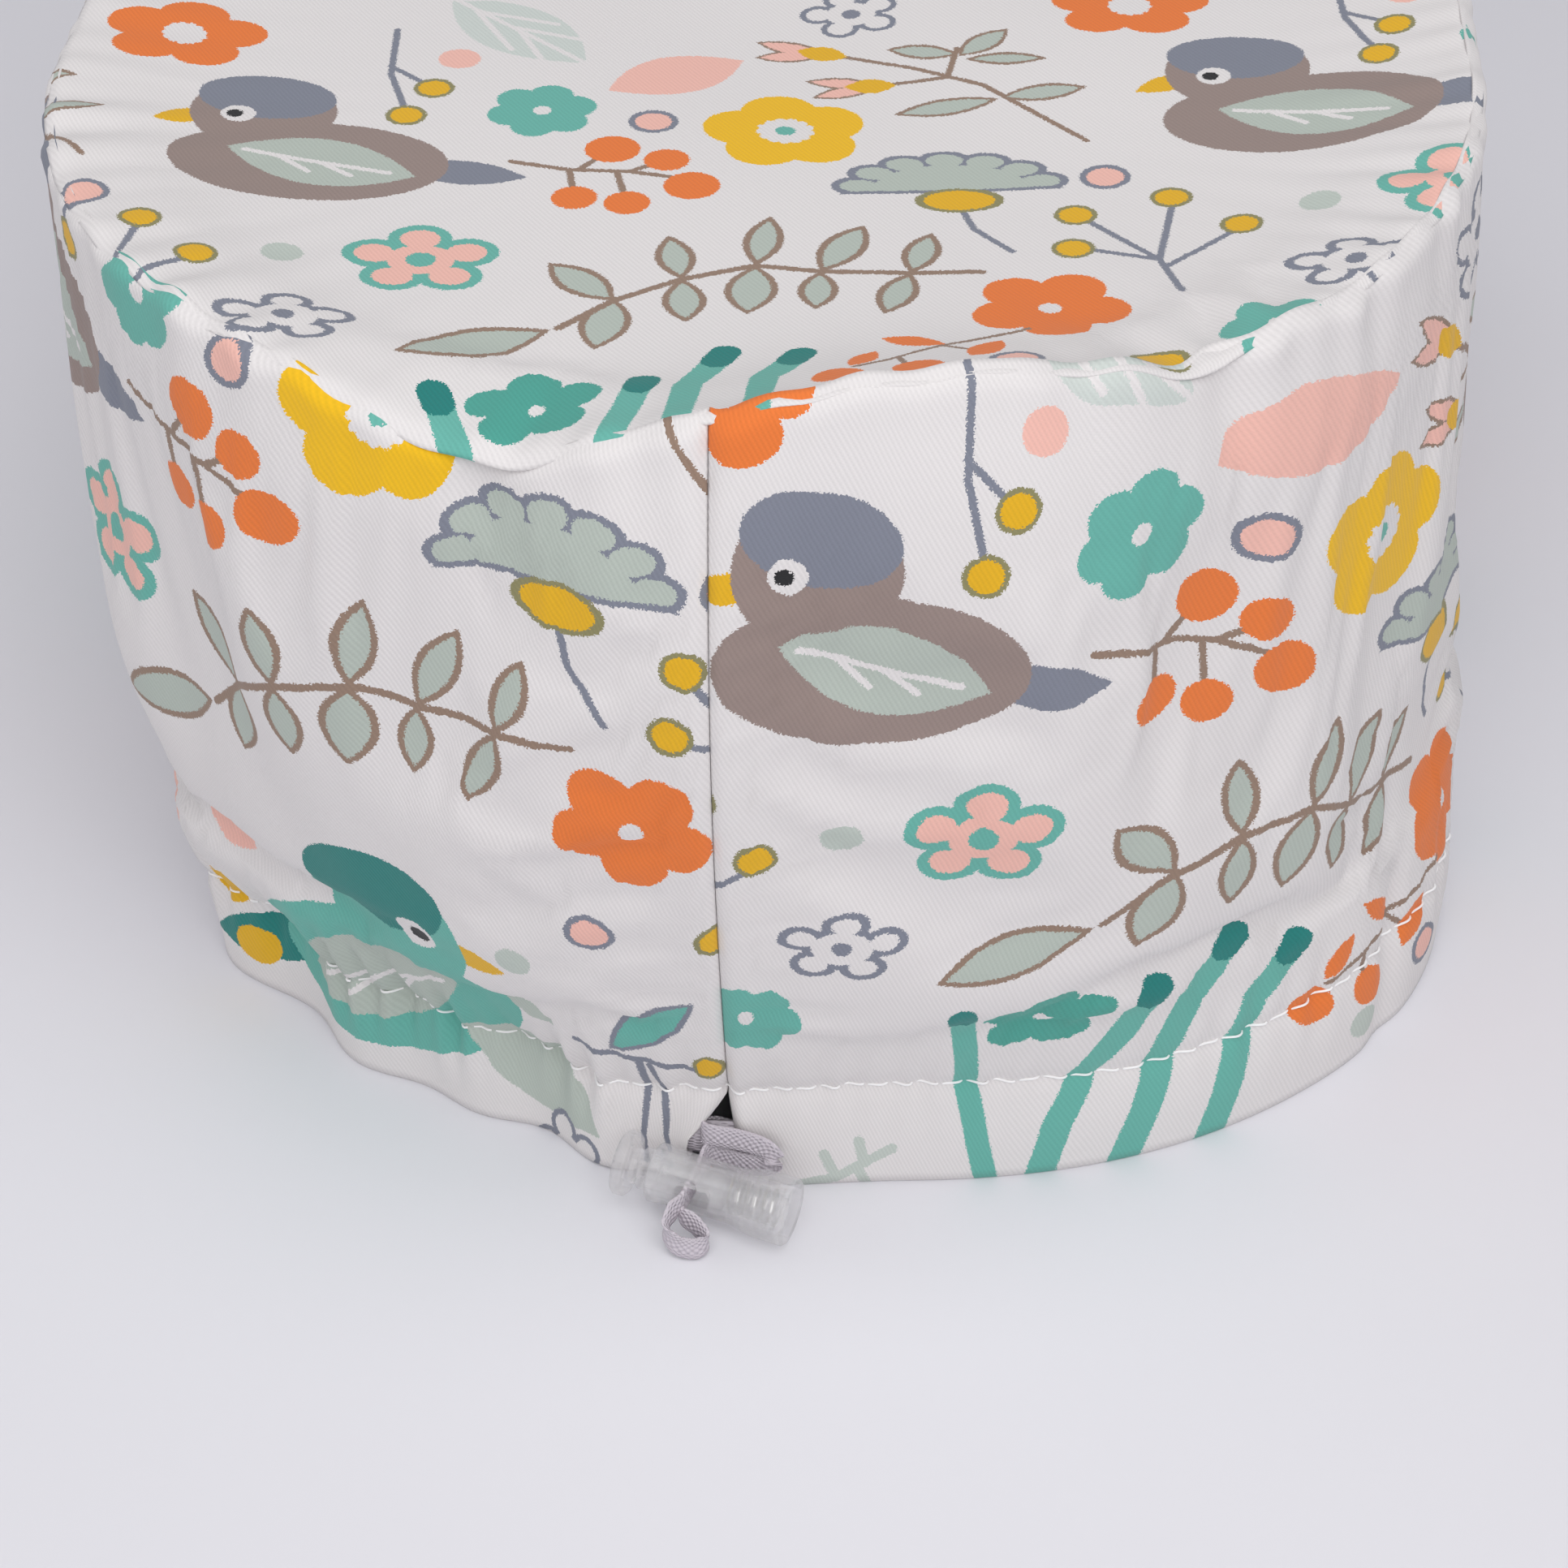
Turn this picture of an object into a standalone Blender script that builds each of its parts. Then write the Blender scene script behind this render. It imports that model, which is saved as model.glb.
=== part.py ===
"""A soft scrub cap: an oval crown on a side wall of two panels, standing on its open hem.

The hem is turned up into a casing. An elastic runs in it all the way round, comes out through a slot
at the foot of the centre-back seam and passes through a small sprung cord lock.

Frame: the origin is the middle of the cap on the surface that it stands on, +Z is up, and the centre
back, with the cord lock, faces -Y. All lengths are in metres.
"""

import math

import bmesh
import bpy
from mathutils import Matrix, Vector

MM = 0.001

# The cap
CROWN_LENGTH = 256 * MM
CROWN_WIDTH = 172 * MM
CAP_HEIGHT = 118 * MM
CLOTH = 0.8 * MM
CLEARANCE = 0.3 * MM          # between two pieces that touch on the real cap
CROWN_DISH = 4 * MM           # how far the middle of the crown sinks below its edge
BULGE = 4 * MM                # how far the wall stands out past the crown
BULGE_DEPTH = 22 * MM         # from the crown down to the widest part of the wall
HEM_INSET_ENDS = 14.8 * MM    # how far the hem draws in at the centre back and the centre front
HEM_INSET_SIDES = 3 * MM

# The casing along the hem, and the elastic in it
CASING_HEIGHT = 15 * MM
CASING_CHANNEL = 2.4 * MM
ELASTIC_WIDTH = 5.5 * MM
ELASTIC_THICKNESS = 0.9 * MM
ELASTIC_FOOT = 4 * MM         # from the surface up to the elastic's lower edge
ELASTIC_CORD_RADIUS = 0.75 * MM
SLOT_WIDTH = 4.5 * MM
SLOT_FOOT = 2.5 * MM
SLOT_HEIGHT = 10.5 * MM
THREAD = 0.5 * MM

# Tapes inside, and the sweatband
BINDING_WIDTH = 8 * MM
BINDING_THICKNESS = 1.0 * MM
CURVE_CLEARANCE = 1.0 * MM    # between a tape's flat faces and the curved wall
SWEATBAND_LENGTH = 230 * MM
SWEATBAND_WIDTH = 38 * MM
SWEATBAND_THICKNESS = 1.6 * MM

# The cord lock, measured along its own axis from the face of its push button
LOCK_BUTTON_END = (-13.2 * MM, -3.3 * MM, 6.0 * MM)   # from the foot of the centre-back seam
LOCK_BELL_END = (7.4 * MM, -9.3 * MM, 4.5 * MM)
BARREL_START = 4.4 * MM
BARREL_LENGTH = 18.4 * MM
BARREL_RADIUS = 3.55 * MM
BARREL_COLLAR = 3.75 * MM
BARREL_COLLAR_LENGTH = 1.4 * MM
BELL_RADIUS = 4.3 * MM
BELL_LENGTH = 6.5 * MM
BARREL_END_WALL = 1.2 * MM
BORE_RADIUS = 2.95 * MM
PLUNGER_CLEARANCE = 0.3 * MM
PLUNGER_LENGTH = 14 * MM
BUTTON_RADIUS = 4.1 * MM
BUTTON_THICKNESS = 1.9 * MM
NECK_RADIUS = 2.2 * MM
PRESS_TRAVEL = 2.2 * MM
CORD_HOLE_CENTRE = 10.6 * MM
CORD_HOLE_LENGTH = 4.6 * MM
CORD_HOLE_HEIGHT = 3.9 * MM
CORD_HOLE_CORNER = 0.8 * MM
SPRING_TURNS = 6
SPRING_WIRE_RADIUS = 0.2 * MM
SPRING_WALL_CLEARANCE = 0.5 * MM

STATIONS = 64                 # steps round the whole cap
TURNED_SEGMENTS = 28          # faces round a turned piece of the cord lock

HALF_LENGTH = CROWN_LENGTH / 2
END_RADIUS = CROWN_WIDTH / 2
STRAIGHT = CROWN_LENGTH - CROWN_WIDTH
QUARTER = math.pi / 2 * END_RADIUS
HALF_ROUND = 2 * QUARTER + STRAIGHT       # from the centre back to the centre front
ROUND = 2 * HALF_ROUND
WALL_TOP = CAP_HEIGHT - CLOTH - CLEARANCE
HEM_TIP = HALF_LENGTH - HEM_INSET_ENDS

# The elastic's free loop, from the right-hand end of the casing, through the lock and back into the
# left-hand end: each point is millimetres right of, behind and above the foot of the centre-back seam
ELASTIC_ROUTE = [
    (0.25, 2.0, 7.0),
    (-1.7, 1.7, 7.6),
    (-3.0, -0.1, 8.7),
    (-2.2, -1.7, 9.5),
    (1.0, -2.1, 9.3),
    (4.4, -2.4, 8.4),
    (5.8, -2.6, 6.8),
    (4.6, -2.2, 5.2),
    (1.4, -1.6, 5.0),
    (-1.2, -1.2, 5.7),
    (-2.75, -2.0, 6.28),
    (-3.9, -6.0, 6.28),
    (-5.0, -9.8, 6.25),
    (-6.1, -11.4, 5.4),
    (-6.6, -12.7, 3.7),
    (-5.3, -13.8, 2.3),
    (-3.0, -13.9, 1.9),
    (-1.9, -12.8, 2.3),
    (-3.1, -11.6, 3.4),
    (-4.9, -10.6, 4.3),
    (-5.0, -9.4, 4.38),
    (-4.0, -6.0, 4.38),
    (-2.95, -2.3, 4.38),
    (-2.5, 0.0, 4.3),
    (-3.4, 1.7, 4.8),
    (-4.75, 1.95, 5.1),
]
ELASTIC_STEP = 1.5 * MM


def clear_scene():
    for thing in list(bpy.data.objects):
        bpy.data.objects.remove(thing, do_unlink=True)


def make_material(name, colour, roughness, metallic=0.0, transmission=0.0):
    material = bpy.data.materials.new(name)
    material.use_nodes = True
    shader = material.node_tree.nodes["Principled BSDF"]
    shader.inputs["Base Color"].default_value = (*colour, 1.0)
    shader.inputs["Roughness"].default_value = roughness
    shader.inputs["Metallic"].default_value = metallic
    shader.inputs["Transmission Weight"].default_value = transmission
    return material


def add_object(name, data, material):
    piece = bpy.data.objects.new(name, data)
    piece.data.materials.append(material)
    bpy.context.scene.collection.objects.link(piece)
    return piece


def mesh_from(name, bm):
    bmesh.ops.recalc_face_normals(bm, faces=bm.faces)
    mesh = bpy.data.meshes.new(name)
    bm.to_mesh(mesh)
    bm.free()
    mesh.shade_smooth()
    mesh.set_sharp_from_angle(angle=math.radians(40))
    return mesh


def loft(name, rings, material, closed=False):
    """One solid through rings of points, all with the same count, capped unless it closes on itself."""
    bm = bmesh.new()
    rows = [[bm.verts.new(point) for point in ring] for ring in rings]
    count = len(rows[0])
    pairs = list(zip(rows, rows[1:]))
    if closed:
        pairs.append((rows[-1], rows[0]))
    for near, far in pairs:
        for i in range(count):
            j = (i + 1) % count
            bm.faces.new((near[i], near[j], far[j], far[i]))
    if not closed:
        bm.faces.new(rows[0])
        bm.faces.new(list(reversed(rows[-1])))
    return add_object(name, mesh_from(name, bm), material)


def turned(name, profile, material):
    """A solid turned about the local X axis from (along, radius) points that start and end on it,
    or, where they don't touch the axis, a closed ring."""
    bm = bmesh.new()
    rows = []
    for along, radius in profile:
        if radius == 0:
            rows.append([bm.verts.new((along, 0, 0))])
            continue
        turn = [2 * math.pi * k / TURNED_SEGMENTS for k in range(TURNED_SEGMENTS)]
        rows.append([bm.verts.new((along, radius * math.cos(a), radius * math.sin(a))) for a in turn])
    for near, far in zip(rows, rows[1:] + rows[:1]):
        if len(near) == 1 and len(far) == 1:
            continue
        for i in range(TURNED_SEGMENTS):
            j = (i + 1) % TURNED_SEGMENTS
            if len(near) == 1:
                bm.faces.new((near[0], far[j], far[i]))
            elif len(far) == 1:
                bm.faces.new((near[i], near[j], far[0]))
            else:
                bm.faces.new((near[i], near[j], far[j], far[i]))
    return add_object(name, mesh_from(name, bm), material)


def box_cutter(name, low, high):
    bm = bmesh.new()
    bmesh.ops.create_cube(bm, size=1)
    size = Vector(high) - Vector(low)
    centre = (Vector(high) + Vector(low)) / 2
    bmesh.ops.transform(bm, matrix=Matrix.Translation(centre) @ Matrix.Diagonal((*size, 1)), verts=bm.verts)
    return as_cutter(name, bm)


def hole_cutter(name, start, end):
    """A cutter across the lock, along its local Y, for an upright hole with round corners."""
    bm = bmesh.new()
    reach = 2 * BELL_RADIUS
    corner_steps = 4
    half_length = (end - start) / 2 - CORD_HOLE_CORNER
    half_height = CORD_HOLE_HEIGHT / 2 - CORD_HOLE_CORNER
    outline_points = []
    for quarter, (side, level) in enumerate(((1, 1), (-1, 1), (-1, -1), (1, -1))):
        for k in range(corner_steps + 1):
            angle = math.pi / 2 * (quarter + k / corner_steps)
            along = (start + end) / 2 + side * half_length + CORD_HOLE_CORNER * math.cos(angle)
            outline_points.append((along, level * half_height + CORD_HOLE_CORNER * math.sin(angle)))
    near = [bm.verts.new((along, -reach, height)) for along, height in outline_points]
    far = [bm.verts.new((along, reach, height)) for along, height in outline_points]
    for i in range(len(outline_points)):
        j = (i + 1) % len(outline_points)
        bm.faces.new((near[i], near[j], far[j], far[i]))
    bm.faces.new(near)
    bm.faces.new(list(reversed(far)))
    return as_cutter(name, bm)


def as_cutter(name, bm):
    bmesh.ops.recalc_face_normals(bm, faces=bm.faces)
    mesh = bpy.data.meshes.new(name)
    bm.to_mesh(mesh)
    bm.free()
    cutter = bpy.data.objects.new(name, mesh)
    cutter.hide_render = True
    cutter.display_type = "WIRE"
    bpy.context.scene.collection.objects.link(cutter)
    return cutter


def cut(piece, cutter):
    boolean = piece.modifiers.new(cutter.name, "BOOLEAN")
    boolean.operation = "DIFFERENCE"
    boolean.solver = "EXACT"
    boolean.object = cutter


def outline(s):
    """A point of the crown's edge and its outward direction, s metres round from the centre back."""
    s = s % ROUND
    side = 1 if s <= HALF_ROUND else -1
    if side < 0:
        s = ROUND - s
    end_centre = HALF_LENGTH - END_RADIUS
    if s <= QUARTER:
        angle = s / END_RADIUS
        normal = Vector((side * math.sin(angle), -math.cos(angle), 0))
        return Vector((0, -end_centre, 0)) + END_RADIUS * normal, normal
    if s <= QUARTER + STRAIGHT:
        return Vector((side * END_RADIUS, -end_centre + s - QUARTER, 0)), Vector((side, 0, 0))
    angle = (s - QUARTER - STRAIGHT) / END_RADIUS
    normal = Vector((side * math.cos(angle), math.sin(angle), 0))
    return Vector((0, end_centre, 0)) + END_RADIUS * normal, normal


def wall_offset(normal, z):
    """How far outside the crown's edge the wall's face is at height z, where it faces normal."""
    inset = HEM_INSET_SIDES + (HEM_INSET_ENDS - HEM_INSET_SIDES) * normal.y ** 2
    widest = CAP_HEIGHT - BULGE_DEPTH
    if z >= widest:
        return BULGE * (1 - ((z - widest) / BULGE_DEPTH) ** 2)
    fall = min((widest - z) / (widest - CASING_HEIGHT), 1.0)
    return BULGE - (BULGE + inset) * fall ** 1.4


def stations(start, end):
    """Distances round the cap from start to end that share one grid, so that neighbours run parallel."""
    step = ROUND / STATIONS
    first = math.ceil((start + 0.2 * step) / step)
    last = math.floor((end - 0.2 * step) / step)
    return [start] + [k * step for k in range(first, last + 1)] + [end]


def swept(name, profile, distances, material, closed=False):
    """A solid swept round the cap: profile(normal) gives its section as (outward offset, height)."""
    rings = []
    for s in distances:
        point, normal = outline(s)
        rings.append([point + normal * offset + Vector((0, 0, z)) for offset, z in profile(normal)])
    return loft(name, rings, material, closed)


def heights(low, high, count):
    return [low + (high - low) * k / (count - 1) for k in range(count)]


def panel_section(normal):
    """The wall's cloth from the crown seam down to the hem, and the hem turned up inside it."""
    fold = wall_offset(normal, 0)
    inner_layer = fold - CLOTH - CASING_CHANNEL
    wall = heights(WALL_TOP, CASING_HEIGHT, 9)
    outside = [(wall_offset(normal, z), z) for z in wall] + [(fold, 0)]
    turned_up = [
        (inner_layer - CLOTH, 0),
        (inner_layer - CLOTH, CASING_HEIGHT),
        (inner_layer, CASING_HEIGHT),
        (inner_layer, CLOTH),
        (fold - CLOTH, CLOTH),
    ]
    inside = [(wall_offset(normal, z) - CLOTH, z) for z in reversed(wall)]
    return outside + turned_up + inside


def make_crown(material):
    bm = bmesh.new()
    rings = 6
    distances = [k * ROUND / STATIONS for k in range(STATIONS)]
    skins = []
    for drop in (0.0, CLOTH):
        top = CAP_HEIGHT - drop
        rows = [[bm.verts.new((0, 0, top - CROWN_DISH))]]
        for ring in range(1, rings + 1):
            share = ring / rings
            z = top - CROWN_DISH * (1 - share ** 2)
            rows.append([bm.verts.new(outline(s)[0] * share + Vector((0, 0, z))) for s in distances])
        skins.append(rows)
        for k in range(STATIONS):
            j = (k + 1) % STATIONS
            bm.faces.new((rows[0][0], rows[1][k], rows[1][j]))
            for near, far in zip(rows[1:], rows[2:]):
                bm.faces.new((near[k], near[j], far[j], far[k]))
    upper, lower = skins[0][-1], skins[1][-1]
    for k in range(STATIONS):
        j = (k + 1) % STATIONS
        bm.faces.new((upper[k], upper[j], lower[j], lower[k]))
    return add_object("crown_panel", mesh_from("crown_panel", bm), material)


def make_side_panels(material):
    half_gap = CLEARANCE / 2
    right = stations(half_gap, HALF_ROUND - half_gap)
    left = stations(HALF_ROUND + half_gap, ROUND - half_gap)
    swept("side_panel_right", panel_section, right, material)
    panel = swept("side_panel_left", panel_section, left, material)
    slot = box_cutter(
        "slot_cutter",
        (-SLOT_WIDTH, -HEM_TIP - 2 * CASING_CHANNEL, SLOT_FOOT),
        (SLOT_WIDTH, -HEM_TIP + CLOTH + CASING_CHANNEL / 2, SLOT_FOOT + SLOT_HEIGHT),
    )
    cut(panel, slot)


def make_seam_bindings(material):
    crown_top = WALL_TOP - CURVE_CLEARANCE
    crown_foot = crown_top - BINDING_WIDTH

    def section(normal):
        levels = heights(crown_top, crown_foot, 4)
        outer = [(wall_offset(normal, z) - CLOTH - CURVE_CLEARANCE, z) for z in levels]
        inner = [(offset - BINDING_THICKNESS, z) for offset, z in reversed(outer)]
        return outer + inner

    whole = [k * ROUND / STATIONS for k in range(STATIONS)]
    swept("crown_seam_binding", section, whole, material, closed=True)

    levels = heights(CASING_HEIGHT + CLEARANCE, crown_foot - CLEARANCE, 12)
    for name, side in (("back_seam_binding", -1), ("front_seam_binding", 1)):
        normal = Vector((0, side, 0))
        rings = []
        for z in levels:
            reach = HALF_LENGTH + wall_offset(normal, z) - CLOTH - CURVE_CLEARANCE
            near, far = side * reach, side * (reach - BINDING_THICKNESS)
            half = BINDING_WIDTH / 2
            rings.append([Vector(p) for p in ((-half, near, z), (half, near, z), (half, far, z), (-half, far, z))])
        loft(name, rings, material)


def make_sweatband(material):
    foot = CASING_HEIGHT + CLEARANCE
    inset = CLOTH + CURVE_CLEARANCE + BINDING_THICKNESS + CLEARANCE

    def section(normal):
        levels = heights(foot + SWEATBAND_WIDTH, foot, 5)
        outer = [(wall_offset(normal, z) - inset, z) for z in levels]
        inner = [(offset - SWEATBAND_THICKNESS, z) for offset, z in reversed(outer)]
        return outer + inner

    half = SWEATBAND_LENGTH / 2
    swept("sweatband", section, stations(HALF_ROUND - half, HALF_ROUND + half), material)


def make_casing_elastic(material):
    """The elastic inside the casing, from the right of the slot round the front to its left."""
    middle = CLOTH + CASING_CHANNEL / 2

    def section(normal):
        offset = wall_offset(normal, 0) - middle
        half = ELASTIC_THICKNESS / 2
        low, high = ELASTIC_FOOT, ELASTIC_FOOT + ELASTIC_WIDTH
        return [(offset - half, low), (offset + half, low), (offset + half, high), (offset - half, high)]

    channel_radius = END_RADIUS - HEM_INSET_ENDS - middle
    right_end = END_RADIUS * math.asin(2 * CLEARANCE / channel_radius)
    left_end = END_RADIUS * math.asin((SLOT_WIDTH + 2 * CLEARANCE) / channel_radius)
    swept("casing_elastic", section, stations(right_end, ROUND - left_end), material)


def make_hem_thread(material):
    """The row of topstitching that closes the casing, as one thin ring."""

    def section(normal):
        offset = wall_offset(normal, CASING_HEIGHT) + CLEARANCE
        low, high = CASING_HEIGHT - THREAD, CASING_HEIGHT
        return [(offset, low), (offset + THREAD, low), (offset + THREAD, high), (offset, high)]

    whole = [k * ROUND / STATIONS for k in range(STATIONS)]
    swept("hem_thread", section, whole, material, closed=True)


def smooth_points(points, step):
    """Points about a step apart on a smooth curve through the given ones."""
    padded = [2 * points[0] - points[1]] + points + [2 * points[-1] - points[-2]]
    result = []
    for before, start, end, after in zip(padded, padded[1:], padded[2:], padded[3:]):
        parts = max(1, round((end - start).length / step))
        for k in range(parts):
            t = k / parts
            result.append(
                0.5 * (
                    2 * start
                    + (end - before) * t
                    + (2 * before - 5 * start + 4 * end - after) * t ** 2
                    + (3 * start - before - 3 * end + after) * t ** 3
                )
            )
    return result + [points[-1]]


def tube(name, points, radius, material, resolution):
    curve = bpy.data.curves.new(name, "CURVE")
    curve.dimensions = "3D"
    curve.bevel_depth = radius
    curve.bevel_resolution = resolution
    curve.use_fill_caps = True
    spline = curve.splines.new("POLY")
    spline.points.add(len(points) - 1)
    for spot, point in zip(spline.points, points):
        spot.co = (*point, 1)
    return add_object(name, curve, material)


def make_elastic_loop(material):
    seam_foot = Vector((0, -HEM_TIP, 0))
    route = [seam_foot + Vector(point) * MM for point in ELASTIC_ROUTE]
    tube("elastic_loop", smooth_points(route, ELASTIC_STEP), ELASTIC_CORD_RADIUS, material, 2)


def lock_frame():
    """An empty at the face of the push button, whose X axis runs along the lock to its bell end."""
    seam_foot = Vector((0, -HEM_TIP, 0))
    start = seam_foot + Vector(LOCK_BUTTON_END)
    along = (Vector(LOCK_BELL_END) - Vector(LOCK_BUTTON_END)).normalized()
    across = Vector((0, 0, 1)).cross(along).normalized()
    up = along.cross(across)
    frame = bpy.data.objects.new("cord_lock_frame", None)
    frame.matrix_world = Matrix.Translation(start) @ Matrix((along, across, up)).transposed().to_4x4()
    bpy.context.scene.collection.objects.link(frame)
    return frame


def make_cord_lock(clear_plastic, steel):
    frame = lock_frame()
    barrel_end = BARREL_START + BARREL_LENGTH
    floor = barrel_end - BARREL_END_WALL
    bell_start = barrel_end - BELL_LENGTH
    edge = 0.4 * MM
    barrel = turned(
        "cord_lock_barrel",
        [
            (BARREL_START, BORE_RADIUS),
            (BARREL_START, BARREL_COLLAR - edge),
            (BARREL_START + edge, BARREL_COLLAR),
            (BARREL_START + BARREL_COLLAR_LENGTH, BARREL_COLLAR),
            (BARREL_START + BARREL_COLLAR_LENGTH + edge, BARREL_RADIUS),
            (bell_start - 2 * edge, BARREL_RADIUS),
            (bell_start + 3 * edge, BELL_RADIUS - edge / 2),
            (bell_start + 6 * edge, BELL_RADIUS),
            (barrel_end - edge, BELL_RADIUS),
            (barrel_end, BELL_RADIUS - edge),
            (barrel_end, 0),
            (floor, 0),
            (floor, BORE_RADIUS),
        ],
        clear_plastic,
    )
    rod = BORE_RADIUS - PLUNGER_CLEARANCE
    plunger = turned(
        "cord_lock_plunger",
        [
            (0, 0),
            (0, BUTTON_RADIUS - edge),
            (edge, BUTTON_RADIUS),
            (BUTTON_THICKNESS - edge, BUTTON_RADIUS),
            (BUTTON_THICKNESS, BUTTON_RADIUS - edge),
            (BUTTON_THICKNESS, NECK_RADIUS),
            (BUTTON_THICKNESS + 2 * edge, NECK_RADIUS),
            (BUTTON_THICKNESS + 3 * edge, rod),
            (PLUNGER_LENGTH - edge, rod),
            (PLUNGER_LENGTH, rod - edge),
            (PLUNGER_LENGTH, 0),
        ],
        clear_plastic,
    )
    half_hole = CORD_HOLE_LENGTH / 2
    start, end = CORD_HOLE_CENTRE - half_hole, CORD_HOLE_CENTRE + half_hole
    barrel_hole = hole_cutter("barrel_hole_cutter", start, end)
    plunger_hole = hole_cutter("plunger_hole_cutter", start - PRESS_TRAVEL, end - PRESS_TRAVEL + CLEARANCE)
    cut(barrel, barrel_hole)
    cut(plunger, plunger_hole)

    spring_start = PLUNGER_LENGTH + CLEARANCE + SPRING_WIRE_RADIUS
    spring_end = floor - CLEARANCE - SPRING_WIRE_RADIUS
    spring_radius = BORE_RADIUS - SPRING_WALL_CLEARANCE - SPRING_WIRE_RADIUS
    steps_per_turn = 12
    points = []
    for k in range(SPRING_TURNS * steps_per_turn + 1):
        share = k / (SPRING_TURNS * steps_per_turn)
        angle = 2 * math.pi * k / steps_per_turn
        along = spring_start + (spring_end - spring_start) * share
        points.append(Vector((along, spring_radius * math.cos(angle), spring_radius * math.sin(angle))))
    spring = tube("cord_lock_spring", points, SPRING_WIRE_RADIUS, steel, 1)

    for piece in (barrel, plunger, spring, barrel_hole, plunger_hole):
        piece.parent = frame


def main():
    clear_scene()
    cotton = make_material("printed_cotton", (0.86, 0.85, 0.86), 0.85)
    tape = make_material("cotton_tape", (0.80, 0.80, 0.82), 0.9)
    towelling = make_material("towelling", (0.86, 0.86, 0.87), 0.95)
    rubber_weave = make_material("woven_elastic", (0.66, 0.60, 0.66), 0.8)
    thread = make_material("polyester_thread", (0.88, 0.88, 0.88), 0.6)
    clear_plastic = make_material("clear_plastic", (0.92, 0.90, 0.93), 0.08, transmission=0.9)
    steel = make_material("spring_steel", (0.70, 0.70, 0.72), 0.25, metallic=1.0)
    make_crown(cotton)
    make_side_panels(cotton)
    make_seam_bindings(tape)
    make_sweatband(towelling)
    make_casing_elastic(rubber_weave)
    make_hem_thread(thread)
    make_elastic_loop(rubber_weave)
    make_cord_lock(clear_plastic, steel)


main()
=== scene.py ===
# %% [markdown]
# # A printed cotton scrub cap
# The cap is a flat oval crown sewn to an upright wall. The wall is two strips of the same cloth that
# meet in a seam at the back and another at the front. Its lower edge is turned up into a casing, and
# an elastic in the casing is drawn tight through a small clear cord lock. The frame holds each of
# those pieces as a plain solid at its real size, so this script starts from it and dresses it.

# %% Load the frame
import math

import bpy
import numpy as np
from mathutils import Matrix, Vector


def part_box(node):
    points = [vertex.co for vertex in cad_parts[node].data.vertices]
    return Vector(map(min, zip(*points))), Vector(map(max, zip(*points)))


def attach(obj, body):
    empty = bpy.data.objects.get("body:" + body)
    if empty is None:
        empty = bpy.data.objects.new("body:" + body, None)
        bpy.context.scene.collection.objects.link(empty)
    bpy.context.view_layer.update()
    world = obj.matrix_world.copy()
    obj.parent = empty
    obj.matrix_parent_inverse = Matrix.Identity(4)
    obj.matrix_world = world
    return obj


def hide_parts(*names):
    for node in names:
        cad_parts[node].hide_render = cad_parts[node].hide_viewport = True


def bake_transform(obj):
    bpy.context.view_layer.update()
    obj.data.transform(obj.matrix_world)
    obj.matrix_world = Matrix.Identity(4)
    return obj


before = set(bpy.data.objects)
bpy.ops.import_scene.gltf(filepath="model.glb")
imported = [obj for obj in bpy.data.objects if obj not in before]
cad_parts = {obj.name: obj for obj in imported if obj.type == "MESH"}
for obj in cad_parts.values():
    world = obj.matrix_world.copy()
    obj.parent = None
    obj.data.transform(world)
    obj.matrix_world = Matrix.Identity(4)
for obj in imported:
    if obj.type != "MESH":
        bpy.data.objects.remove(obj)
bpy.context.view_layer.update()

MM = 0.001

# %% [markdown]
# ## Small helpers
# Colours are written as sRGB hex values, as a designer would note them, and one function turns them
# to the linear numbers that a shader works in. One more function adds any shader node, sets it up and
# links what goes into it, so that a material reads as a list of its steps.

# %% Colour and node helpers
def linear(code):
    parts = [int(code[i:i + 2], 16) / 255 for i in (1, 3, 5)]
    return [c / 12.92 if c <= 0.04045 else ((c + 0.055) / 1.055) ** 2.4 for c in parts] + [1.0]


def put(tree, kind, *inputs, out=0, **settings):
    """Adds a shader node, sets its properties, links or fills its inputs in order, and gives one output."""
    node = tree.nodes.new("ShaderNode" + kind)
    for name, value in settings.items():
        setattr(node, name, value)
    sockets = [socket for socket in node.inputs if socket.enabled]
    for socket, value in zip(sockets, inputs):
        if isinstance(value, bpy.types.NodeSocket):
            tree.links.new(value, socket)
        elif value is not None:
            socket.default_value = value
    return [socket for socket in node.outputs if socket.enabled][out]


def new_material(name, **principled):
    material = bpy.data.materials.new(name)
    material.use_nodes = True
    shader = material.node_tree.nodes["Principled BSDF"]
    for socket, value in principled.items():
        shader.inputs[socket.replace("_", " ")].default_value = value
    return material, material.node_tree, shader


def only(piece):
    """Selects one object and nothing else, and makes it the active one."""
    bpy.ops.object.select_all(action="DESELECT")
    piece.select_set(True)
    bpy.context.view_layer.objects.active = piece


def apply_modifier(piece, kind, **settings):
    only(piece)
    modifier = piece.modifiers.new(kind.title(), kind)
    for name, value in settings.items():
        setattr(modifier, name, value)
    bpy.ops.object.modifier_apply(modifier=modifier.name)


print("the ground cloth's colour is", [round(c, 3) for c in linear("#F0EFF1")[:3]])

# %% [markdown]
# ## Camera, floor and light
# A product shot like this is taken from behind the cap and above it, close enough that the front runs
# out of the picture. The light is broad and soft, as from a light tent, so shadows stay faint.

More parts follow.
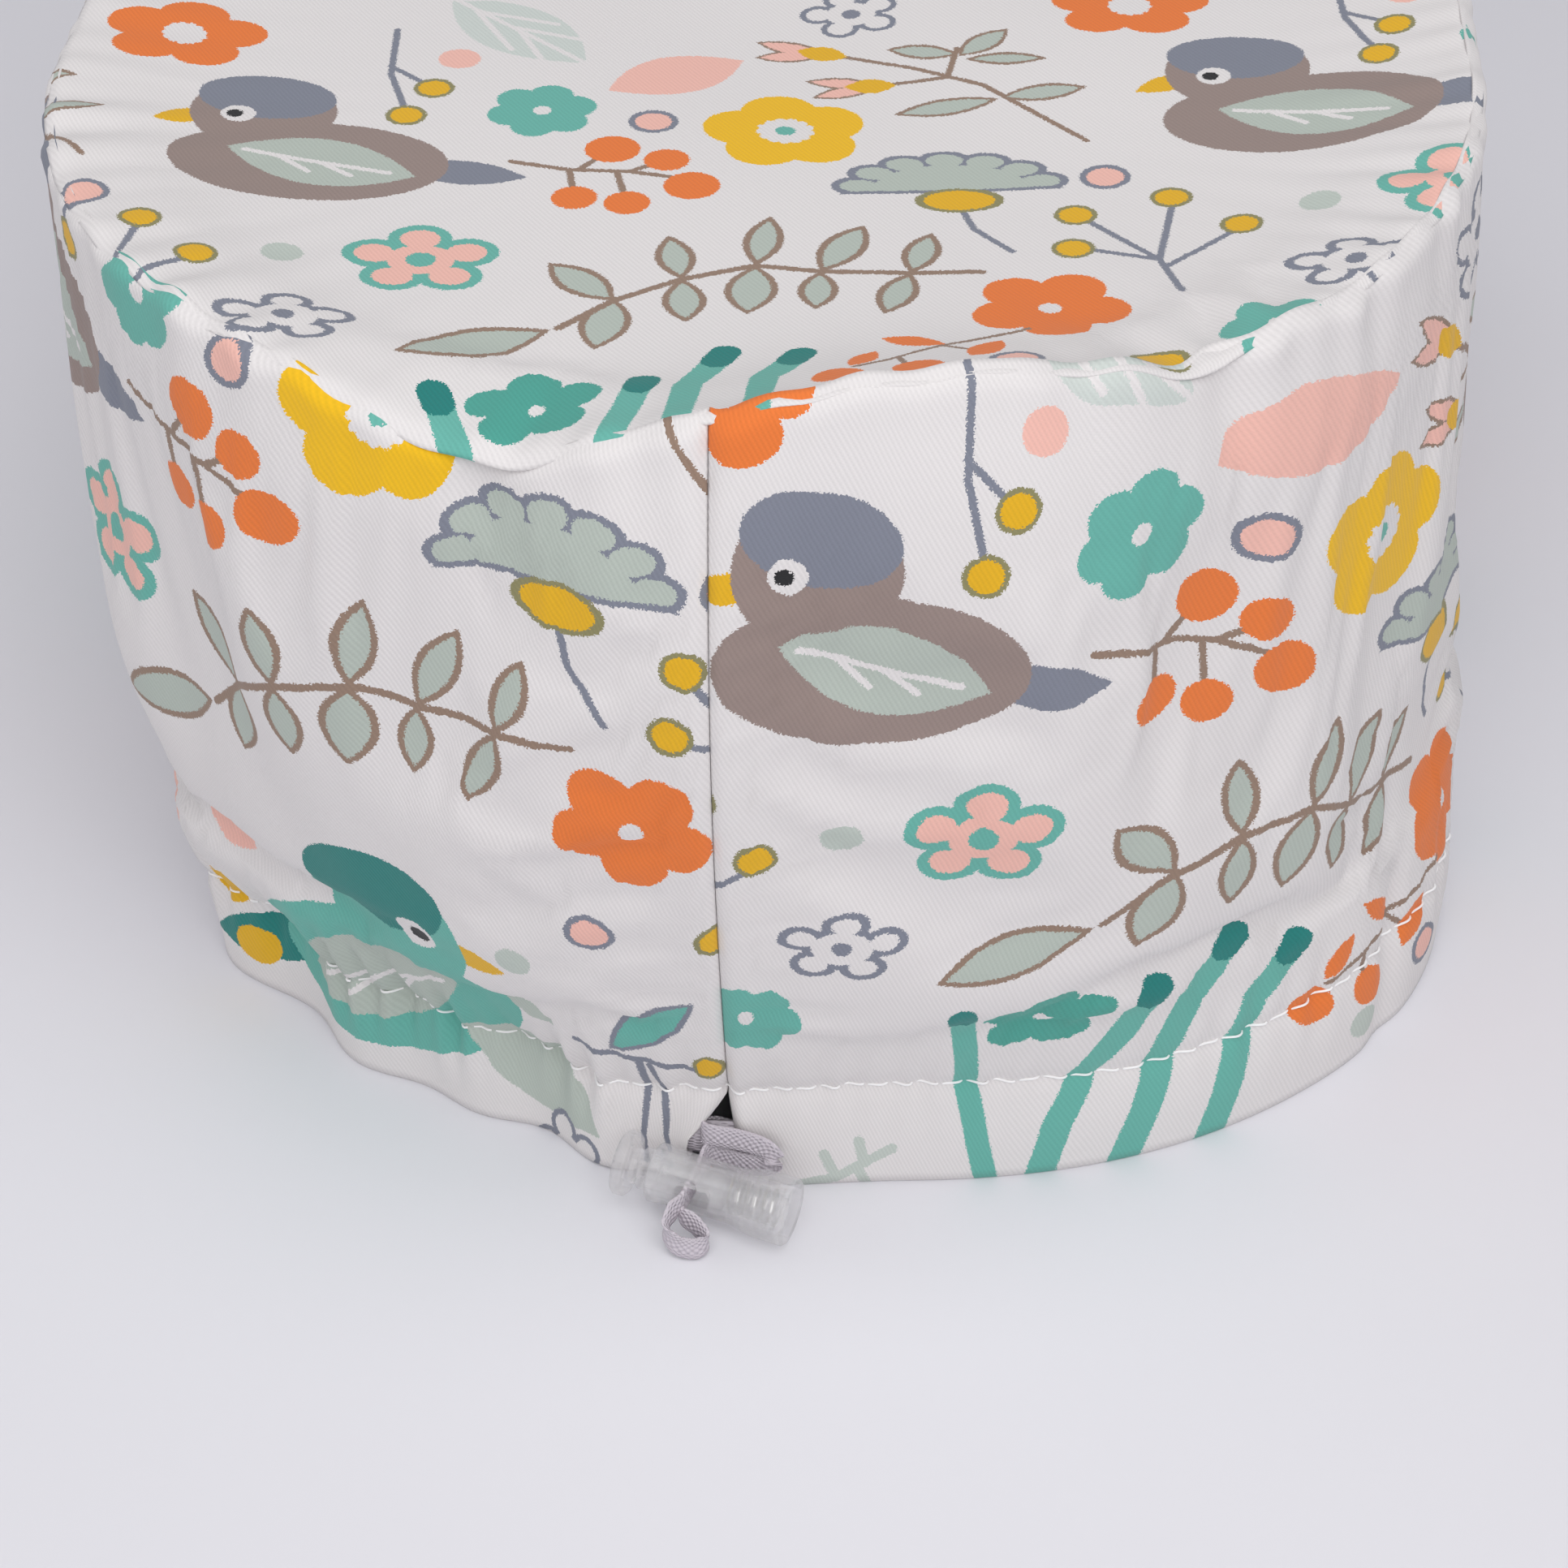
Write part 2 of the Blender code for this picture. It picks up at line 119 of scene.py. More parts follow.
# %% Camera
CAMERA_PLACE = Vector((0.0279, -0.4566, 0.3270))
CAMERA_DOWN = math.radians(37.5)
CAMERA_TURN = math.radians(3.5)
camera = bpy.data.objects.new("camera", bpy.data.cameras.new("camera"))
bpy.context.scene.collection.objects.link(camera)
camera.location = CAMERA_PLACE
camera.rotation_euler = (math.pi / 2 - CAMERA_DOWN, 0, CAMERA_TURN)
camera.data.sensor_width = 36
camera.data.lens = 86.8
bpy.context.scene.camera = camera
bpy.context.scene.view_settings.view_transform = "Standard"
print("the camera stands", round(CAMERA_PLACE.z / MM), "mm above the floor")

# %% Floor
bpy.ops.mesh.primitive_plane_add(size=8, location=(0, 0, 0))
floor = bpy.context.object
floor.name = "floor"
material, tree, shader = new_material("pale_paper_sweep", Base_Color=linear("#E2E1E6"), Roughness=0.8)
floor.data.materials.append(material)

# %% Light
def soft_light(name, place, aim, size, watts, colour="#FFFFFF"):
    light = bpy.data.objects.new(name, bpy.data.lights.new(name, "AREA"))
    bpy.context.scene.collection.objects.link(light)
    light.data.shape = "SQUARE"
    light.data.size = size
    light.data.energy = watts
    light.data.color = linear(colour)[:3]
    light.location = place
    light.rotation_euler = (Vector(aim) - Vector(place)).to_track_quat("-Z", "Y").to_euler()
    return light


soft_light("overhead", (0.1, -0.5, 1.4), (0, -0.1, 0.05), 1.2, 10)
soft_light("key", (0.45, -1.0, 0.85), (0, -0.2, 0.03), 0.8, 4.5)
soft_light("front_fill", (-0.3, -1.5, 0.7), (0, 0, 0.05), 1.0, 4)
soft_light("left_fill", (-1.4, 0.0, 0.7), (0, 0, 0.05), 0.9, 2.4)
world = bpy.data.worlds.new("tent")
world.use_nodes = True
world.node_tree.nodes["Background"].inputs["Color"].default_value = linear("#EEEEF4")
world.node_tree.nodes["Background"].inputs["Strength"].default_value = 0.36
bpy.context.scene.world = world

# %% [markdown]
# ## The cloth as a pattern
# A dressmaker cuts flat pieces and sews them edge to edge. Every place on the cap is therefore given
# by two lengths on the flat cloth, in millimetres: how far round it is from the centre-back seam,
# positive to the right, and how far down it is from the crown seam. The crown uses the same two, with
# distances towards its middle counted as negative.

# %% The crown's edge
crown_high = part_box("crown_panel")[1]
END_RADIUS = crown_high.x / MM
HALF_LENGTH = crown_high.y / MM
WALL_HEIGHT = crown_high.z / MM
STITCH_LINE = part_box("hem_thread")[1].z / MM
QUARTER = math.pi / 2 * END_RADIUS
STRAIGHT = 2 * (HALF_LENGTH - END_RADIUS)
HALF_ROUND = 2 * QUARTER + STRAIGHT


def crown_edge(s, inset=0.0):
    """Places on the crown's edge, moved inward by inset, and the outward directions there."""
    side, along = np.sign(s), np.abs(s)
    angle = np.where(along < QUARTER, along, np.maximum(along - STRAIGHT, QUARTER)) / END_RADIUS
    middle = np.clip(along - QUARTER, 0, STRAIGHT) - STRAIGHT / 2
    out_x, out_y = side * np.sin(angle), -np.cos(angle)
    radius = END_RADIUS - inset
    return radius * out_x, middle + radius * out_y, out_x, out_y


print("the crown is", round(2 * END_RADIUS), "by", round(2 * HALF_LENGTH), "mm, and", round(2 * HALF_ROUND), "mm round")

# %% [markdown]
# ## How the cap stands
# Cloth never stands like a tin. The crown's edge dips where the wall has slumped and rises where it
# holds itself up, and the hem draws in on the left, where the elastic gathers it, more than on the
# right. Each of those is one soft line through a few listed values.

# %% Soft lines and soft waves
def soft_line(points, softness):
    """A function that runs softly through (distance round, value) points."""
    grid = np.arange(-HALF_ROUND, HALF_ROUND + 1.0)
    reach = int(4 * softness)
    bell = np.exp(-0.5 * (np.arange(-reach, reach + 1) / softness) ** 2)
    values = np.interp(grid, *zip(*points))
    soft = np.convolve(np.pad(values, reach, mode="edge"), bell / bell.sum(), "valid")
    return lambda s: np.interp(s, grid, soft)


def waves(s, t, seed, length_round, length_down, count=16):
    """Irregular soft waves of about those two lengths, mostly between -1 and 1."""
    rng = np.random.default_rng(seed)
    total = np.zeros(np.broadcast(s, t).shape)
    for _ in range(count):
        turn = rng.uniform(0.55, 1.45) * 2 * math.pi / length_round * rng.choice((-1, 1))
        fall = rng.uniform(-1.2, 1.2) * 2 * math.pi / length_down
        total += np.sin(turn * s + fall * t + rng.uniform(0, 2 * math.pi))
    return total / math.sqrt(count)


def bump(distance, width):
    return np.exp(-(distance / width) ** 2)


rim_height = soft_line([
    (-354, 118), (-135, 117), (-87, 117.5), (-69, 118.7), (-51, 118), (-38, 115.3), (-25, 112.3),
    (-18, 114.0), (-8, 119), (0, 121.2), (11, 124.6), (23, 125.8), (33, 125), (46, 121.6), (56, 118.0),
    (63, 120.6), (75, 119.2), (93, 119.5), (135, 120), (354, 118),
], 2.5)
hem_stand = soft_line([
    (-354, -12), (-200, -7), (-114, -10), (-88, -11.7), (-69, -15.2), (-42, -18.4), (-18, -15),
    (0, -14.4), (22, -14), (40, -9.8), (67, -2.3), (82, 1.6), (95, 5.0), (112, 7.4), (150, 7), (220, 1),
    (354, -12),
], 5.0)
wall_bulge = soft_line([
    (-354, 8), (-200, 4), (-150, 0.5), (-90, 0.5), (-60, 3), (-25, 3), (0, 5), (30, 6), (56, 4), (80, 3),
    (120, 1), (200, 4), (354, 8),
], 9.0)
print("the crown's edge stands between", round(float(rim_height(-25.0))), "and", round(float(rim_height(23.0))), "mm")

# %% [markdown]
# ## The wall
# The wall hangs from the crown seam to the hem, where it turns up inside itself to make the casing.
# One function gives the place in space of any spot on the flat wall. It adds the large shape first
# and then what sewing does: a groove where two edges meet, small puckers along each row of stitches,
# the gathers over the drawn-up elastic, and the slot at the seam's foot where the elastic comes out.

# %% Where each spot of the wall lies
FOLD_DEPTH = 2.2      # between the outside of the casing and the layer turned up inside it
FOLD_ARC = math.pi * FOLD_DEPTH / 2
TURN_UP = STITCH_LINE + 1.0
STITCH_ROW = WALL_HEIGHT - STITCH_LINE
STITCH_PITCH = 3.5


def wall_place(s, t, inward=0.0):
    """Places in millimetres of flat-cloth spots s round and t down the wall, past the hem fold too."""
    down = np.clip(t / WALL_HEIGHT, 0, 1)
    inside = np.clip(t - WALL_HEIGHT - FOLD_ARC, 0, None)
    height = rim_height(s) * (1 - down) + 0.35 * waves(s, 0 * t, 51, 13, 99) * bump(t, 12)
    height = height + inside
    below = np.clip((STITCH_LINE - 0.5 - height) / 7.5, 0, 1)
    left, right = (s < 0) * below, (s >= 0) * below
    slot = left * np.exp(np.minimum(s, 0) / 7.5)
    shown = s - 6.0 * slot + 1.3 * right * np.exp(-np.maximum(s, 0) / 4)
    x, y, out_x, out_y = crown_edge(shown)

    slope = np.clip(t / STITCH_ROW, 0, 1)
    stand = hem_stand(s) * slope ** 2.2 + wall_bulge(s) * np.sin(math.pi * slope ** 0.75)
    seam = np.minimum(np.abs(s), HALF_ROUND - np.abs(s))
    stitch = t - STITCH_ROW
    middle = np.sin(math.pi * slope)
    gathered = np.clip(-s / 25, 0, 1) * np.clip((200 + s) / 60, 0, 1)
    stand = stand - 1.3 * bump(t, 0.7) + 0.3 * bump(t - 2.2, 2.0)
    stand = stand - 0.6 * bump(seam, 0.6) + 0.3 * bump(seam - 2.2, 1.5)
    stand = stand + 0.40 * waves(s, t, 3, 9, 60) * np.exp(-t / 7) * np.clip(t / 2, 0, 1)
    stand = stand + 1.1 * waves(s, t, 5, 60, 110) * middle + 0.4 * waves(s, t, 8, 26, 60) * middle
    stand = stand - 2.2 * bump(s + 25 - 0.12 * t, 5.5) * bump(t - 6, 16)
    stand = stand - 1.6 * bump(s - 57 - 0.18 * t, 3.5) * bump(t - 2, 14)
    stand = stand - 1.6 * bump(s - 104 + 0.05 * t, 3.0) * bump(t - 100, 22)
    stand = stand - 0.5 * bump(stitch, 1.3) + 0.45 * bump(stitch - 7.5, 5.0)
    stand = stand - 0.22 * np.cos(2 * math.pi * s / STITCH_PITCH) * bump(stitch, 1.5)
    stand = stand + (0.25 + 0.55 * gathered) * waves(s, t * 0.2, 12, 7, 40) * bump(stitch, 7.0)
    stand = stand + 1.3 * gathered * waves(s, t * 0.3, 21, 30, 70) * np.exp(-np.clip(-stitch, 0, 200) / 16)
    stand = stand + 3.2 * gathered * bump(stitch + 10, 8.0) * bump(s + 88, 30)
    stand = stand + 1.1 * slot * bump(seam, 1.6)

    over = np.clip((t - WALL_HEIGHT) / FOLD_ARC, 0, 1) * math.pi
    stand = stand - FOLD_DEPTH / 2 * (1 - np.cos(over)) - inward
    height = height + 0.25 - 0.25 * np.sin(over) + 3.0 * slot * bump(height, 5.0)
    return np.stack([x + out_x * stand, y + out_y * stand, height], axis=-1)


print("the hem's tip at the back is at", wall_place(np.array(0.0), np.array(WALL_HEIGHT)).round(1))

# %% [markdown]
# ## The crown
# The crown is nearly flat. Its edge rises to the seam, where the folded allowances underneath lift it
# into a low rim, and fine puckers run in from the stitches.

# %% Where each spot of the crown lies
def crown_place(s, t):
    """Places of spots s round and -t in from the crown seam."""
    inset = -t
    x, y, out_x, out_y = crown_edge(s, inset)
    inward = np.clip(inset / END_RADIUS, 0, 1)
    middle = WALL_HEIGHT - 0.5 - 2.5 * (1 - (1 - inward) ** 2)
    edge = rim_height(s) + 0.35 * waves(s, 0 * t, 51, 13, 99)
    height = middle + (edge - middle) * np.exp(-inset / 15) * (1 - inward) ** 2
    height = height - 0.75 * bump(inset, 0.6) + 0.35 * bump(inset - 2.4, 2.5)
    lip = np.clip((s + 2) / 10, 0, 1) * np.clip((62 - s) / 8, 0, 1) * bump(inset - 1.0, 1.1)
    x, y = x + 0.9 * lip * out_x, y + 0.9 * lip * out_y
    height = height + 0.3 * waves(s, t, 31, 9, 60) * np.exp(-inset / 7) * np.clip(inset / 2, 0, 1)
    height = height + 0.7 * waves(x, y, 33, 70, 70) * inward
    height = height - 0.9 * bump(s - 57 - 0.7 * inset, 2.6) * bump(inset - 8, 9)
    height = height - 0.7 * bump(s - 66 - 0.9 * inset, 2.6) * bump(inset - 7, 8)
    return np.stack([x, y, height], axis=-1)


print("the middle of the crown is at", crown_place(np.array(0.0), np.array(-END_RADIUS)).round(1))

# %% [markdown]
# ## Sheets from the pattern
# Each panel starts as Blender's grid, whose rows and columns are the lines of the flat cloth. They
# lie close together next to a seam, where the cloth turns sharply, and wider apart elsewhere. The
# panel's UV map is the flat cloth itself, as it lay on the printed bolt when it was cut.

# %% Lines and sheets
UV_UNIT = 100.0       # millimetres of cloth to one unit of the UV map


def close_lines(start, end, step, tight=(), fine=0.35, spread=0.35):
    """Lines from start to end, step apart, and fine apart next to the tight places."""
    lines = [start]
    while lines[-1] < end - 1e-6:
        nearest = min((abs(lines[-1] - place) for place in tight), default=1e9)
        lines.append(lines[-1] + min(step, fine + spread * nearest))
    lines[-1] = end
    return np.array(lines)


def cloth_sheet(name, across, down, place, flat):
    """A grid whose columns and rows are lines of the flat cloth, laid out in space by place."""
    columns, rows = len(across) - 1, len(down) - 1
    bpy.ops.mesh.primitive_grid_add(x_subdivisions=columns, y_subdivisions=rows, size=2)
    piece = bpy.context.object
    piece.name = piece.data.name = name
    spots = np.zeros(len(piece.data.vertices) * 3)
    piece.data.vertices.foreach_get("co", spots)
    spots = spots.reshape(-1, 3)
    s = across[np.rint((spots[:, 0] + 1) / 2 * columns).astype(int)]
    t = down[np.rint((spots[:, 1] + 1) / 2 * rows).astype(int)]
    piece.data.vertices.foreach_set("co", (place(s, t) * MM).ravel())
    corners = np.zeros(len(piece.data.loops), int)
    piece.data.loops.foreach_get("vertex_index", corners)
    u, v = flat(s, t)
    uv = np.stack([u[corners], v[corners]], axis=-1) / UV_UNIT
    piece.data.uv_layers[0].data.foreach_set("uv", uv.ravel())
    piece.data.update()
    return piece


def eased(s):
    """The cloth is a little shorter than its path where it bends round the cap's ends."""
    return s - 0.23 * np.sign(s) * np.clip(np.abs(s) - 40, 0, 75)


def level(s, t):
    """The print runs level, so where the crown's edge dips, more cloth is in the seam. Round the cap's
    ends the strips were sewn on a little askew."""
    askew = 0.32 * np.clip(s - 52, 0, 60) + 0.15 * np.clip(-s - 22, 0, 80)
    return askew - t - (125 - rim_height(s)) * (1 - np.clip(t / WALL_HEIGHT, 0, 1))


def crown_flat(s, t):
    x, y, _, _ = crown_edge(s, -t)
    turn = math.radians(8.3)
    x, y = x + 56.2, y + 52.6
    return x * math.cos(turn) + y * math.sin(turn), y * math.cos(turn) - x * math.sin(turn)


wall_rows = close_lines(0, WALL_HEIGHT + FOLD_ARC + TURN_UP, 2.0, (0, STITCH_ROW, WALL_HEIGHT + 1.7))[::-1]
crown_rows = -close_lines(0, END_RADIUS, 2.2, (0,))
SEAM_GAP = 0.03
columns_right = close_lines(SEAM_GAP, HALF_ROUND - SEAM_GAP, 1.17, (0, HALF_ROUND), fine=0.25)
columns_left = -columns_right[::-1]
columns_crown = np.concatenate([columns_left[:-1], [0.0], columns_right[1:]])
wall_right = cloth_sheet("side_panel_right_cloth", columns_right, wall_rows, wall_place,
                         lambda s, t: (eased(s) - 14.1 - 0.3 * np.clip(s - 58, 0, 60) * np.clip(1 - t / 75, 0, 1),
                                       level(s, t) + 20.6))
wall_left = cloth_sheet("side_panel_left_cloth", columns_left, wall_rows, wall_place,
                        lambda s, t: (eased(s) + 211 + 0.08 * np.clip(-s - 5, 0, 45) * np.clip(1.1 - t / 85, 0, 1),
                                      level(s, t) + 0.2))
crown = cloth_sheet("crown_panel_cloth", columns_crown, crown_rows, crown_place, crown_flat)
print([(o.name, len(o.data.polygons)) for o in (wall_right, wall_left, crown)])

# %% Close the crown at the front and along its middle
only(crown)
bpy.ops.object.mode_set(mode="EDIT")
bpy.ops.mesh.select_all(action="SELECT")
bpy.ops.mesh.remove_doubles(threshold=0.05 * MM)
bpy.ops.object.mode_set(mode="OBJECT")
print("the crown is one sheet of", len(crown.data.polygons), "faces")

# %% [markdown]
# ## Letting the cloth settle
# A little more cloth is cut than the shape needs, and a short cloth simulation lets it find its own
# shallow creases. It is held where it is sewn: at the crown seam, at the upright seams and at the
# casing. What moves further than the cloth has slack for is held back.

# %% Cloth simulation
def settle(piece, held, frames=8, slack=0.022, most=2.2):
    """Runs a cloth simulation; held gives how firmly each place, in millimetres, is held, from 0 to 1."""
    count = len(piece.data.vertices)
    before = np.zeros(count * 3)
    piece.data.vertices.foreach_get("co", before)
    before = before.reshape(-1, 3)
    group = piece.vertex_groups.new(name="sewn")
    firm = np.round(np.clip(held(before / MM), 0, 1), 2)
    for share in np.unique(firm):
        group.add(np.flatnonzero(firm == share).tolist(), float(share), "REPLACE")
    only(piece)
    modifier = piece.modifiers.new("Cloth", "CLOTH")
    cloth = modifier.settings
    cloth.quality = 5
    cloth.mass = 0.2
    cloth.tension_stiffness = cloth.compression_stiffness = 25
    cloth.shear_stiffness = 12
    cloth.bending_stiffness = 0.08
    cloth.tension_damping = cloth.compression_damping = 12
    cloth.air_damping = 4
    cloth.shrink_min = cloth.shrink_max = -slack
    cloth.vertex_group_mass = "sewn"
    cloth.effector_weights.gravity = 0.4
    modifier.collision_settings.use_collision = False
    modifier.point_cache.frame_start, modifier.point_cache.frame_end = 1, frames
    for frame_number in range(1, frames + 1):
        bpy.context.scene.frame_set(frame_number)
    shaped = piece.evaluated_get(bpy.context.evaluated_depsgraph_get()).to_mesh()
    after = np.zeros(count * 3)
    shaped.vertices.foreach_get("co", after)
    moved = after.reshape(-1, 3) - before
    far = np.linalg.norm(moved, axis=1)[:, None] / MM
    moved = moved * most * np.tanh(far / most) / np.maximum(far, 1e-6)
    piece.modifiers.remove(modifier)
    piece.vertex_groups.remove(group)
    piece.data.vertices.foreach_set("co", (before + moved).ravel())
    piece.data.update()
    bpy.context.scene.frame_set(1)
    print(piece.name, "settled, by at most", round(float(np.linalg.norm(moved, axis=1).max() / MM), 2), "mm")


def wall_held(places):
    """Held at the upright seams, the crown seam and the casing, and free in between."""
    from_seam = np.abs(places[:, 0]) + np.where(np.abs(places[:, 1]) < HALF_LENGTH - 45, 99, 0)
    loose = np.clip((places[:, 2] - STITCH_LINE - 3) / 14, 0, 1) * np.clip((WALL_HEIGHT - 6 - places[:, 2]) / 14, 0, 1)
    return 1 - 0.995 * loose * np.clip((from_seam - 1.5) / 9, 0, 1)


def crown_held(places):
    middle = np.clip(np.abs(places[:, 1]) - STRAIGHT / 2, 0, None)
    inset = END_RADIUS - np.hypot(places[:, 0], middle)
    return 1 - 0.99 * np.clip((inset - 4) / 14, 0, 1)


settle(wall_right, wall_held)
settle(wall_left, wall_held)
settle(crown, crown_held, slack=0.004, most=1.2)

# %% Give the cloth its thickness
CLOTH = 0.35
for piece in (wall_right, wall_left, crown):
    apply_modifier(piece, "SOLIDIFY", thickness=CLOTH * MM, offset=-1, material_offset=1)
    only(piece)
    bpy.ops.object.shade_smooth()
print("panel faces with thickness:", [len(o.data.polygons) for o in (wall_right, wall_left, crown)])

# %% [markdown]
# ## The printed cotton
# The cloth is a bleached cotton twill, printed in nine flat inks by a rotary screen, so the pattern
# repeats along and across the bolt. The shader draws each motif from simple shapes: a dot is a
# distance from a point, a stem a distance from a line, a leaf two arcs, and a flower a circle whose
# radius swells with the angle. All sizes are millimetres on the flat cloth.

# %% Shapes for the print
REPEAT_WIDE = 118.0
REPEAT_HIGH = 150.0


def lesser(tree, values):
    least = values[0]
    for value in values[1:]:
        least = put(tree, "Math", least, value, operation="MINIMUM")
    return least


def repeat(tree, place, centre, wide=REPEAT_WIDE):
    """The place on the repeat whose middle is centre."""
    reach = Vector((wide / 2, REPEAT_HIGH / 2, 1))
    away = put(tree, "VectorMath", place, (*centre, 0), operation="SUBTRACT")
    away = put(tree, "VectorMath", away, reach, -reach, operation="WRAP")
    return put(tree, "VectorMath", away, (*centre, 0), operation="ADD")


def dots(tree, place, *centres):
    return lesser(tree, [put(tree, "VectorMath", place, (*c, 0), operation="DISTANCE") for c in centres])


def stems(tree, place, *lines):
    """The distance from the nearest of some lines, each a list of points."""
    distances = []
    for line in lines:
        for start, end in zip(line, line[1:]):
            way = Vector((*end, 0)) - Vector((*start, 0))
            away = put(tree, "VectorMath", place, (*start, 0), operation="SUBTRACT")
            share = put(tree, "VectorMath", away, way / way.length_squared, operation="DOT_PRODUCT")
            share = put(tree, "Clamp", share)
            nearest = put(tree, "VectorMath", way, share, operation="SCALE")
            distances.append(put(tree, "VectorMath", away, nearest, operation="DISTANCE"))
    return lesser(tree, distances)


def leaves(tree, place, *pairs):
    """How far outside the nearest leaf a place is; each is (base, tip, half its width)."""
    outside = []
    for base, tip, half in pairs:
        base, tip = Vector((*base, 0)), Vector((*tip, 0))
        way = (tip - base) / 2
        away = put(tree, "VectorMath", place, (base + tip) / 2, operation="SUBTRACT")
        along = put(tree, "VectorMath", away, way / way.length_squared, operation="DOT_PRODUCT")
        side = Vector((-way.y, way.x, 0)).normalized()
        aside = put(tree, "Math", put(tree, "VectorMath", away, side, operation="DOT_PRODUCT"), operation="ABSOLUTE")
        curve = put(tree, "Math", put(tree, "Math", along, along, operation="MULTIPLY"), half, -half,
                    operation="MULTIPLY_ADD")
        outside.append(put(tree, "Math", aside, curve, operation="ADD"))
    return lesser(tree, outside)


def flower(tree, place, centre, count, reach, petal, turn=0.0, squeeze=(1, 1)):
    """How far outside a flower a place is: count round petals of that radius, that far from its middle."""
    away = put(tree, "VectorMath", place, (*centre, 0), operation="SUBTRACT")
    away = put(tree, "VectorMath", away, (1 / squeeze[0], 1 / squeeze[1], 0), operation="MULTIPLY")
    far = put(tree, "VectorMath", away, operation="LENGTH")
    x, y = (put(tree, "SeparateXYZ", away, out=i) for i in (0, 1))
    sector = put(tree, "Math", put(tree, "Math", y, x, operation="ARCTAN2"), count / math.tau, turn + 20,
                 operation="MULTIPLY_ADD")
    angle = put(tree, "Math", put(tree, "Math", sector, operation="FRACT"), math.tau / count, -math.pi / count,
                operation="MULTIPLY_ADD")
    bend = put(tree, "Math", put(tree, "Math", angle, operation="COSINE"), -2 * reach, far, operation="MULTIPLY_ADD")
    square = put(tree, "Math", far, bend, reach ** 2, operation="MULTIPLY_ADD")
    outside = put(tree, "Math", put(tree, "Math", square, operation="SQRT"), petal, operation="SUBTRACT")
    return put(tree, "Math", outside, put(tree, "Math", far, 0.95 * reach, operation="SUBTRACT"), operation="MINIMUM")


def blob(tree, place, centre, wide, high, turn=0.0):
    """How far outside an oval a place is, in shares of its radius."""
    away = put(tree, "VectorMath", place, (*centre, 0), operation="SUBTRACT")
    if turn:
        away = put(tree, "VectorRotate", away, (0, 0, 0), -math.radians(turn), rotation_type="Z_AXIS")
    away = put(tree, "VectorMath", away, (1 / wide, 1 / high, 0), operation="MULTIPLY")
    return put(tree, "VectorMath", away, operation="LENGTH")


def ink(tree, under, value, limit, code):
    """Prints a colour where value is less than limit."""
    mask = put(tree, "Math", value, limit, operation="LESS_THAN")
    return put(tree, "Mix", mask, under, linear(code), data_type="RGBA")


WHITE, TEAL, PINE, ORANGE, MUSTARD = "#E3DFDE", "#69B3A6", "#25807A", "#E97C3B", "#E4B123"
PINK, SAGE, BROWN, SLATE, FUR, DARK = "#F0BCAF", "#B6BFB6", "#957E6E", "#818592", "#978680", "#2A2A2C"
OLIVE = "#8F8A62"
print("the print repeats every", REPEAT_WIDE, "by", REPEAT_HIGH, "mm")

# %% The motifs, from the back to the front
def resting_bird(tree, place, c, centre, turn, size, body, cap, wing):
    """A plain bird sitting on the ground: tail, body, head, cap, beak, eye and folded wing."""
    def at(x, y):
        return (centre[0] + turn * size * x, centre[1] + size * y)

    c = ink(tree, c, leaves(tree, place, (at(13, -13.5), at(28, -17), 2.8 * size)), 0, cap)
    c = ink(tree, c, leaves(tree, place, (at(-8, 0.5), at(-16, -2.5), 1.8 * size)), 0, MUSTARD)
    c = ink(tree, c, blob(tree, place, at(2.5, -12), 16.5 * size, 9.6 * size, -6 * turn), 1, body)
    c = ink(tree, c, dots(tree, place, at(-3, 0.5)), 8.8 * size, body)
    c = ink(tree, c, blob(tree, place, at(-2.6, 4.2), 8.4 * size, 5.4 * size, -12 * turn), 1, cap)
    c = ink(tree, c, dots(tree, place, at(-6, 0)), 2.1 * size, WHITE)
    c = ink(tree, c, dots(tree, place, at(-6.4, 0)), 1.0 * size, DARK)
    c = ink(tree, c, leaves(tree, place, (at(-7, -8.5), at(15, -16), 5.6 * size)), 0, wing)
    return ink(tree, c, stems(tree, place, [at(-5, -9.2), at(3, -12), at(12, -15)], [at(-1, -10.6), at(2.5, -14.5)],
                              [at(4, -12.4), at(7.5, -15.6)]), 0.4, WHITE)


def berries(tree, place, c, lines, centres, width, radius, rim, stem=SLATE, fruit=MUSTARD, edge=OLIVE):
    c = ink(tree, c, stems(tree, place, *lines), width, stem)
    found = dots(tree, place, *centres)
    if rim:
        c = ink(tree, c, found, radius + rim, edge)
    return ink(tree, c, found, radius, fruit)


